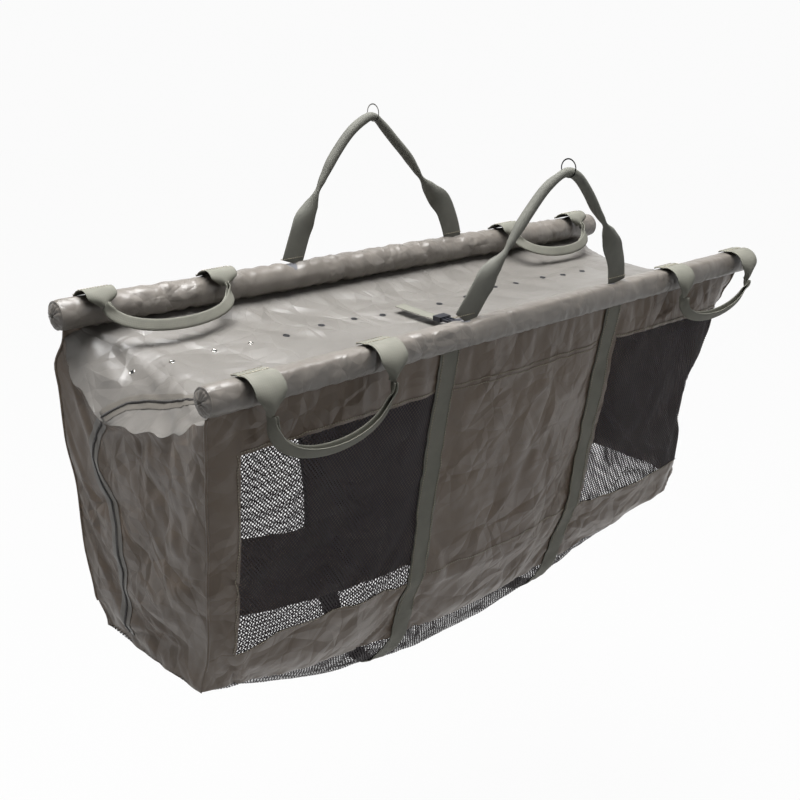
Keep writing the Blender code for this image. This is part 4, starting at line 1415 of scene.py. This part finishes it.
@dataclass
class GrabSet:
    """The keeper loops of one bar and the two grab straps that hang in them."""

    word: str
    bar: FloatBar
    keepers: tuple[float, float, float, float]
    end_degrees: float
    stand: float
    lean: float
    depths: tuple[float, float]
    hump: float
    width: float = 0.038

    def keeper_spot(self, x: float, degrees: float) -> tuple[Vector, Vector]:
        """A place on a keeper's middle line and the way out there."""
        share = clamp((degrees - 100.0) / (self.end_degrees - 100.0))
        turn = math.radians(degrees)
        out = Vector((0.0, math.cos(turn), math.sin(turn)))
        reach = self.bar.radius + 0.0016 + self.stand * math.sin(share * math.pi / 2)
        reach += self.hump * math.sin(math.pi * clamp((degrees - 62.0) / (self.end_degrees - 62.0))) ** 1.5
        return self.bar.axis(x) + out * reach, out

    def keeper(self, number: int, x: float, thread: Stitching) -> None:
        """Make a keeper loop, wide where it is sewn and pinched where it holds the strap."""
        angles = stations((58.0, self.end_degrees), 5.0)
        across = [step / 4 - 1.0 for step in range(9)]

        def place(degrees: float, side: float) -> Vector:
            share = clamp((degrees - 104.0) / (self.end_degrees - 104.0))
            half = 0.024 - 0.0185 * smoothstep(0.58, 1.0, share)
            spot, out = self.keeper_spot(x, degrees)
            cup = 0.0070 * smoothstep(0.4, 1.0, share) * (0.3 - side * side)
            return spot + Vector((side * half, 0.0, 0.0)) + out * cup

        shape = woven_grid([value / 1000.0 for value in angles], across,
                           lambda run, side: place(run * 1000.0, side))
        weave = shape.loops.layers.uv.verify()
        for face in shape.faces:
            for loop in face.loops:
                loop[weave].uv = (loop[weave].uv.x * 0.5, loop[weave].uv.y * 0.024)
        made = thicken(finish_mesh(f"{self.word}_loop_{number}", shape, Look.WEBBING), 0.0017)
        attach(made, "bag")
        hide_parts(f"{self.word}_keeper_{number}")
        for degrees in (64.0, 98.0):
            line = [
                place(degrees, step / 8 - 1.0) + self.keeper_spot(x, degrees)[1] * 0.0012 for step in range(17)
            ]
            thread.sew(line, self.keeper_spot(x, degrees)[1], 0.0002)

    def grab(self, hand: str, start: float, end: float, depth: float) -> None:
        """Make a grab strap that hangs in a U between two keepers."""
        lean = math.radians(self.lean)
        down = Vector((0.0, -math.sin(lean), -math.cos(lean)))
        flat = Vector((0.0, -math.cos(lean), math.sin(lean)))
        points = []
        for step in range(17):
            turned = math.pi * step / 16
            x = (start + end) / 2 - (end - start) / 2 * math.cos(turned)
            base, _ = self.keeper_spot(x, self.end_degrees)
            fall = depth * math.sin(turned) ** 0.8
            points.append(base + down * fall)
        spine = smooth_line(points, 64)
        leans = [flat.cross(Vector((1.0, 0.0, 0.0))).lerp(flat, 0.2) for _ in spine]
        made = strap(
            f"{self.word}_{hand}_grab", spine, leans, self.width,
            lambda share, across: folded(across, self.width, 0.12 + 0.16 * math.sin(math.pi * clamp(share))),
        )
        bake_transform(made)
        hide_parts(f"{self.word}_grab_{hand}")
        length = sum((after - here).length for here, after in zip(spine, spine[1:]))

    def build(self, thread: Stitching) -> None:
        """Make the four keepers and the two straps."""
        for number, x in enumerate(self.keepers, 1):
            self.keeper(number, x, thread)
        self.grab("left", self.keepers[0], self.keepers[1], self.depths[0])
        self.grab("right", self.keepers[2], self.keepers[3], self.depths[1])
        LOG.info("%s keepers and grab straps made", self.word)


# Zip, vents and buckle


@dataclass
class ZipRun:
    """One run of the zip: a strip of tape on each side and the coil between them."""

    canopy: Canopy

    def strip(
        self, name: str, line: Sequence[Vector], inner: float, outer: float, lift: float,
        body: str, look: Look, nodes: Sequence[str] = (),
    ) -> bpy.types.Object:
        """Lay a strip beside the zip's line.

        Args:
            name: The piece's name.
            line: The zip's line, near the cloth.
            inner: The strip's near edge from the line, positive to its left.
            outer: The strip's far edge.
            lift: How far it stands off the cloth.
            body: The body that it rides on.
            look: Its finish.
            nodes: The CAD nodes that it stands for.

        Returns:
            The strip.
        """
        count = len(line) - 1
        runs = [step * 0.006 for step in range(count + 1)]
        across = [inner + (outer - inner) * step / 3 for step in range(4)]

        def place(along: float, side: float) -> Vector:
            number = round(along / 0.006)
            way = (line[min(number + 1, count)] - line[max(number - 1, 0)]).normalized()
            _, out = self.canopy.on_cloth(line[number], 0.0)
            spot, out = self.canopy.on_cloth(line[number] + out.cross(way) * side, 0.0)
            hump = 0.0012 if look is Look.COIL and across[0] < side < across[-1] else 0.0
            return spot + out * (lift + hump)

        made = thicken(finish_mesh(name, woven_grid(runs, across, place), look), 0.0005)
        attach(made, body)
        if nodes:
            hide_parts(*nodes)
        if look is not Look.COIL:
            length = sum((after - here).length for here, after in zip(line, line[1:]))
        return made


@dataclass
class ZipAndVents:
    """The zip round the bag's mouth and the row of eyelets along the lid."""

    canopy: Canopy
    end_route: tuple[tuple[float, float, float], ...] = (
        (-0.535, -0.071, -0.045), (-0.547, -0.028, -0.056), (-0.554, 0.012, -0.065),
        (-0.565, 0.046, -0.076), (-0.580, 0.066, -0.088), (-0.590, 0.085, -0.106),
        (-0.589, 0.102, -0.130), (-0.589, 0.110, -0.154), (-0.589, 0.111, -0.181),
        (-0.590, 0.102, -0.203), (-0.590, 0.083, -0.224), (-0.592, 0.068, -0.245),
        (-0.593, 0.058, -0.277), (-0.588, 0.058, -0.325), (-0.587, 0.057, -0.357),
        (-0.589, 0.057, -0.389), (-0.586, 0.057, -0.426), (-0.584, 0.058, -0.440),
    )
    vents: tuple[tuple[float, float, float], ...] = (
        (-0.542, 0.083, -0.044), (-0.498, 0.044, -0.032), (-0.421, 0.053, -0.032), (-0.362, 0.044, -0.030),
        (-0.297, 0.042, -0.030), (-0.215, 0.058, -0.033), (-0.147, 0.058, -0.035), (-0.097, 0.045, -0.035),
        (0.026, 0.038, -0.035), (0.093, 0.040, -0.036), (0.183, 0.056, -0.036), (0.240, 0.056, -0.038),
        (0.316, 0.058, -0.041), (0.363, 0.048, -0.041), (0.410, 0.040, -0.040),
    )
    # How many rims are bright steel as a painted glint; the rest are black as painted shade.
    bright_vents: int = 4

    def lines(self) -> dict[str, list[Vector]]:
        """The zip's runs down the left end, along the top and down the right end."""
        found = {}
        top_y = self.canopy.zip_y
        for word, end in (("left", -1), ("right", 1)):
            points = [POSTURE.settle(Vector((end * 0.528, top_y, -0.030)))]
            points += [Vector((-end * x, y, height - POSTURE.hang_drop)) for x, y, height in self.end_route]
            snapped = [self.canopy.on_cloth(spot, 0.0)[0] for spot in points]
            smooth = smooth_line(snapped, 100)
            found[word] = [self.canopy.on_cloth(spot, 0.0)[0] for spot in smooth]
        top = [POSTURE.settle(Vector((-0.528 + 1.056 * step / 140, top_y, -0.030))) for step in range(141)]
        found["top"] = [self.canopy.on_cloth(spot, 0.0)[0] for spot in top]
        return found

    def build(self) -> None:
        """Lay the tapes and coils, then set the eyelets."""
        runs = self.lines()
        strips = ZipRun(self.canopy)
        for word in ("left", "right"):
            line = runs[word]
            hand = 1.0 if word == "left" else -1.0
            strips.strip(f"zip_tape_{word}_rear", line, -0.0015 * hand, -0.0118 * hand, 0.0009, "bag",
                         Look.TAPE, (f"zip_rear_half_{word}",))
            strips.strip(f"zip_tape_{word}_wall", line, 0.0015 * hand, 0.0118 * hand, 0.0009, "bag", Look.TAPE)
            strips.strip(f"zip_coil_{word}", line, -0.0021, 0.0021, 0.0014, "bag", Look.COIL)
        line = runs["top"]
        strips.strip("zip_tape_top_wall", line, -0.0015, -0.0118, 0.0009, "bag", Look.NYLON, ("zip_wall_half",))
        strips.strip("zip_coil_top_wall", line, -0.0024, -0.0002, 0.0014, "bag", Look.COIL)
        strips.strip("zip_tape_top_lid", line, 0.0015, 0.0118, 0.0009, "lid", Look.NYLON, ("zip_lid_half",))
        strips.strip("zip_coil_top_lid", line, 0.0002, 0.0024, 0.0014, "lid", Look.COIL)
        self.eyelets()
        LOG.info("zip laid and %d vents set", len(self.vents))

    def eyelets(self) -> None:
        """Set a rolled eyelet over a black disc of painted shade at each vent; a few rims are bright steel as a painted
        glint and the rest are black as painted shade.
        """
        kinds = (("bag", Look.STEEL), ("lid", Look.STEEL), ("lid", Look.ACETAL))
        rims, holes = {kind: bmesh.new() for kind in kinds}, {body: bmesh.new() for body in ("bag", "lid")}
        for number, (x, y, height) in enumerate(self.vents):
            # The first few rims are bright steel as a painted glint and the rest black acetal as painted shade, copying
            # which vents catch the light.
            painted_glint, body = number < self.bright_vents, "bag" if y > self.canopy.fold_y else "lid"
            rim, radius = rims[body, Look.STEEL if painted_glint else Look.ACETAL], 0.0038 if painted_glint else 0.0048
            spot, out = self.canopy.on_cloth(Vector((x, y, height - POSTURE.hang_drop)), 0.0)
            turn = Matrix.Translation(spot + out * 0.0009) @ out.to_track_quat("Z", "Y").to_matrix().to_4x4()
            made = bmesh.ops.create_circle(
                rim, segments=8, radius=0.0007,
                matrix=turn @ Matrix.Translation((radius, 0.0, 0.0)) @ Matrix.Rotation(math.pi / 2, 4, "X"),
            )
            edges = list({edge for vert in made["verts"] for edge in vert.link_edges})
            bmesh.ops.spin(
                rim, geom=made["verts"] + edges, cent=turn.translation, axis=out, angle=2 * math.pi,
                steps=20, use_merge=True, use_duplicate=False,
            )
            # Each opening is a black disc: painted shade for the dark inside seen through the vent.
            bmesh.ops.create_circle(holes[body], cap_ends=True, segments=20, radius=radius, matrix=turn)
        for (body, look), rim in rims.items():
            word = "bright" if look is Look.STEEL else "dark"
            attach(finish_mesh(f"vent_rims_{body}_{word}", weld_outward(rim), look), body)
        # The black discs of painted shade, one piece for each body.
        for body, hole in holes.items():
            hole.normal_update()
            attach(finish_mesh(f"vent_shade_discs_{body}", hole, Look.SHADE, smooth=False), body)


@dataclass
class BuckleTabs:
    """The webbing tab on the lid and the black tab that holds the socket."""

    canopy: Canopy
    x: float = -0.060
    width: float = 0.022

    def tab(self, name: str, start: float, end: float, height: float, look: Look, body: str, node: str) -> None:
        """Lay a short webbing tab along Y."""
        spots = [Vector((self.x, start + (end - start) * step / 24, height - POSTURE.hang_drop)) for step in range(25)]
        lifted = [spot + Vector((0.0, 0.0, 0.0012 * ripple(spot, 0.03, 5.0))) for spot in spots]
        made = strap(
            name, lifted, [Vector((0.0, 0.0, 1.0))] * 25, self.width, lambda _, across: (0.0, across), look, 0.0014,
        )
        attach(made, body)
        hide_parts(node)

    def build(self) -> None:
        """Make both tabs and finish the moulded halves."""
        low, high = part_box("lid_tab")
        self.tab("lid_webbing_tab", low.y, high.y, -0.0250, Look.WEBBING, "lid", "lid_tab")
        low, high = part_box("bar_tab")
        self.tab("bar_webbing_tab", low.y, high.y, -0.0270, Look.DARK_WEB, "bag", "bar_tab")
        for node in ("buckle_socket", "buckle_prongs"):
            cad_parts[node].data.materials.clear()
            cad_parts[node].data.materials.append(WARDROBE.get(Look.ACETAL))
        for node in ("zip_slider", "zip_pull"):
            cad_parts[node].data.materials.clear()
            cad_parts[node].data.materials.append(WARDROBE.get(Look.STEEL))
        LOG.info("buckle and slider finished")


# The studio


@dataclass(frozen=True)
class Studio:
    """Camera, lamps, floor and backdrop."""

    eye: tuple[float, float, float] = (-1.36668462, -1.33289935, 0.26299694)
    right: tuple[float, float, float] = (0.73038221, -0.68249846, 0.02716028)
    up: tuple[float, float, float] = (0.22173281, 0.27452465, 0.93566595)
    lens: float = 54.0
    floor_height: float = -1.45

    def camera(self) -> None:
        """Put the camera where the photograph was taken from."""
        made = bpy.data.cameras.new("studio_camera")
        made.lens = self.lens
        made.sensor_width = 36.0
        made.clip_end = 100.0
        holder = bpy.data.objects.new("studio_camera", made)
        right, up = Vector(self.right), Vector(self.up)
        back = right.cross(up)
        turn = Matrix((right, up, back)).transposed().to_4x4()
        holder.matrix_world = Matrix.Translation(self.eye) @ turn
        bpy.context.scene.collection.objects.link(holder)
        bpy.context.scene.camera = holder

    def floor(self) -> None:
        """Roll out a pale floor that turns up into a backdrop on every side."""
        shape = bmesh.new()
        bmesh.ops.create_circle(shape, cap_ends=True, segments=96, radius=9.0)
        rim = [edge for edge in shape.edges if edge.is_boundary]
        for lift, grow in ((0.3, 1.06), (1.0, 1.10), (2.4, 1.12), (6.0, 1.12)):
            made = bmesh.ops.extrude_edge_only(shape, edges=rim)["geom"]
            verts = [item for item in made if isinstance(item, bmesh.types.BMVert)]
            rim = [item for item in made if isinstance(item, bmesh.types.BMEdge)]
            for vert in verts:
                flat = Vector((vert.co.x, vert.co.y, 0.0)).normalized() * 9.0 * grow
                vert.co = Vector((flat.x, flat.y, lift))
        bmesh.ops.translate(shape, verts=shape.verts[:], vec=(0.0, 0.0, self.floor_height))
        bmesh.ops.recalc_face_normals(shape, faces=shape.faces[:])
        bmesh.ops.reverse_faces(shape, faces=shape.faces[:])
        mesh = bpy.data.meshes.new("studio_floor")
        shape.to_mesh(mesh)
        shape.free()
        floor = bpy.data.objects.new("studio_floor", mesh)
        bpy.context.scene.collection.objects.link(floor)
        paper = bpy.data.materials.new("seamless_white_paper")
        paper.use_nodes = True
        tree = paper.node_tree
        tree.nodes.clear()
        rays = add_node(tree, "ShaderNodeLightPath")
        seen = add_node(
            tree, "ShaderNodeMath", {"operation": "MAXIMUM"},
            {0: rays.outputs["Is Camera Ray"], 1: rays.outputs["Is Transmission Ray"]},
        )
        seen = add_node(
            tree, "ShaderNodeMath", {"operation": "MAXIMUM"},
            {0: seen.outputs["Value"], 1: rays.outputs["Is Glossy Ray"]},
        )
        share = add_node(
            tree, "ShaderNodeMath", {"operation": "MULTIPLY"}, {0: seen.outputs["Value"], 1: 0.96},
        )
        matt = add_node(tree, "ShaderNodeBsdfDiffuse", None, {"Color": (0.40, 0.40, 0.40, 1.0)})
        glow = add_node(tree, "ShaderNodeEmission", None, {"Color": (1.0, 1.0, 1.0, 1.0), "Strength": 1.0})
        both = add_node(
            tree, "ShaderNodeMixShader", None,
            {"Fac": share.outputs["Value"], 1: matt.outputs["BSDF"], 2: glow.outputs["Emission"]},
        )
        add_node(tree, "ShaderNodeOutputMaterial", None, {"Surface": both.outputs["Shader"]})
        mesh.materials.append(paper)

    def lamp(self, name: str, spot: tuple[float, float, float], size: float, watts: float) -> None:
        """Hang a soft square lamp that faces the sling.

        Args:
            name: The lamp's name.
            spot: Where it hangs.
            size: The length of its side.
            watts: Its power.
        """
        light = bpy.data.lights.new(name, "AREA")
        light.shape = "SQUARE"
        light.size = size
        light.energy = watts
        holder = bpy.data.objects.new(name, light)
        aim = Vector((0.0, 0.0, -0.45)) - Vector(spot)
        holder.matrix_world = Matrix.Translation(spot) @ aim.to_track_quat("-Z", "Y").to_matrix().to_4x4()
        bpy.context.scene.collection.objects.link(holder)

    def build(self) -> None:
        """Set up the whole studio."""
        scene = bpy.context.scene
        scene.view_settings.view_transform = "Standard"
        world = bpy.data.worlds.new("studio_world")
        world.use_nodes = True
        world.node_tree.nodes["Background"].inputs["Color"].default_value = (1.0, 1.0, 1.0, 1.0)
        world.node_tree.nodes["Background"].inputs["Strength"].default_value = 0.12
        scene.world = world
        self.camera()
        self.floor()
        self.lamp("top_softbox", (-0.1, 0.15, 2.6), 2.2, 300.0)
        self.lamp("front_softbox", (0.4, -3.0, 1.3), 1.6, 10.0)
        self.lamp("left_softbox", (-3.0, 0.6, 1.2), 1.4, 4.0)
        LOG.info("studio set")


def main() -> None:
    """Build the sling's visible pieces in order, then the studio round them."""
    logging.basicConfig(level=logging.INFO, format="%(name)s: %(message)s")
    thread = Stitching("wall_stitching", "bag")
    shell, canopy = Shell(), Canopy()
    shell.build()
    canopy.build()
    shell_pieces = CarryBands(shell)
    shell_pieces.build(thread)
    WallSeams(shell).build(thread)
    ZipAndVents(canopy).build()
    BuckleTabs(canopy).build()
    for end, word in ((-1, "left"), (1, "right")):
        for side, wall in ((-1, "front"), (1, "back")):
            spots = stations((0.004, BAG.window_bottom + 0.060), 0.008)
            line = [
                shell.on_cloth(end * BAG.half_bag, down if side < 0 else BAG.girth - down, 0.0006)
                for down in spots
            ]
            Piping(f"{wall}_{word}_binding").build(line)
    shell.dress()
    canopy.dress()
    front = FloatBar("front", -1, 0.0220, (-0.145, 0.217), 0.0007, 0.0015)
    back = FloatBar("back", 1, 0.0235, (-0.175, 0.199), 0.0019, 0.0003)
    front.build()
    back.build()
    GrabSet("front", front, (-0.525, -0.318, 0.362, 0.560), 213.0, 0.0215, 0.0, (0.072, 0.050), 0.0).build(thread)
    GrabSet("back", back, (-0.540, -0.330, 0.333, 0.530), 160.0, 0.0120, 54.0, (0.055, 0.055), 0.009).build(thread)
    for word, bar, apex, hangs, necks in (
        ("front", front, (0.069, 0.2135), HANGS[:2], (0.46, 0.42)),
        ("back", back, (-0.003, 0.2485), HANGS[2:], (0.42, 0.50)),
    ):
        handle_thread = Stitching(f"{word}_handle_stitching", "bag")
        TallHandle(word, bar.side, bar.feet, apex, bar.radius, hangs, necks).build(handle_thread)
        handle_thread.done()
    thread.done()
    Studio().build()


if __name__ == "__main__":
    main()
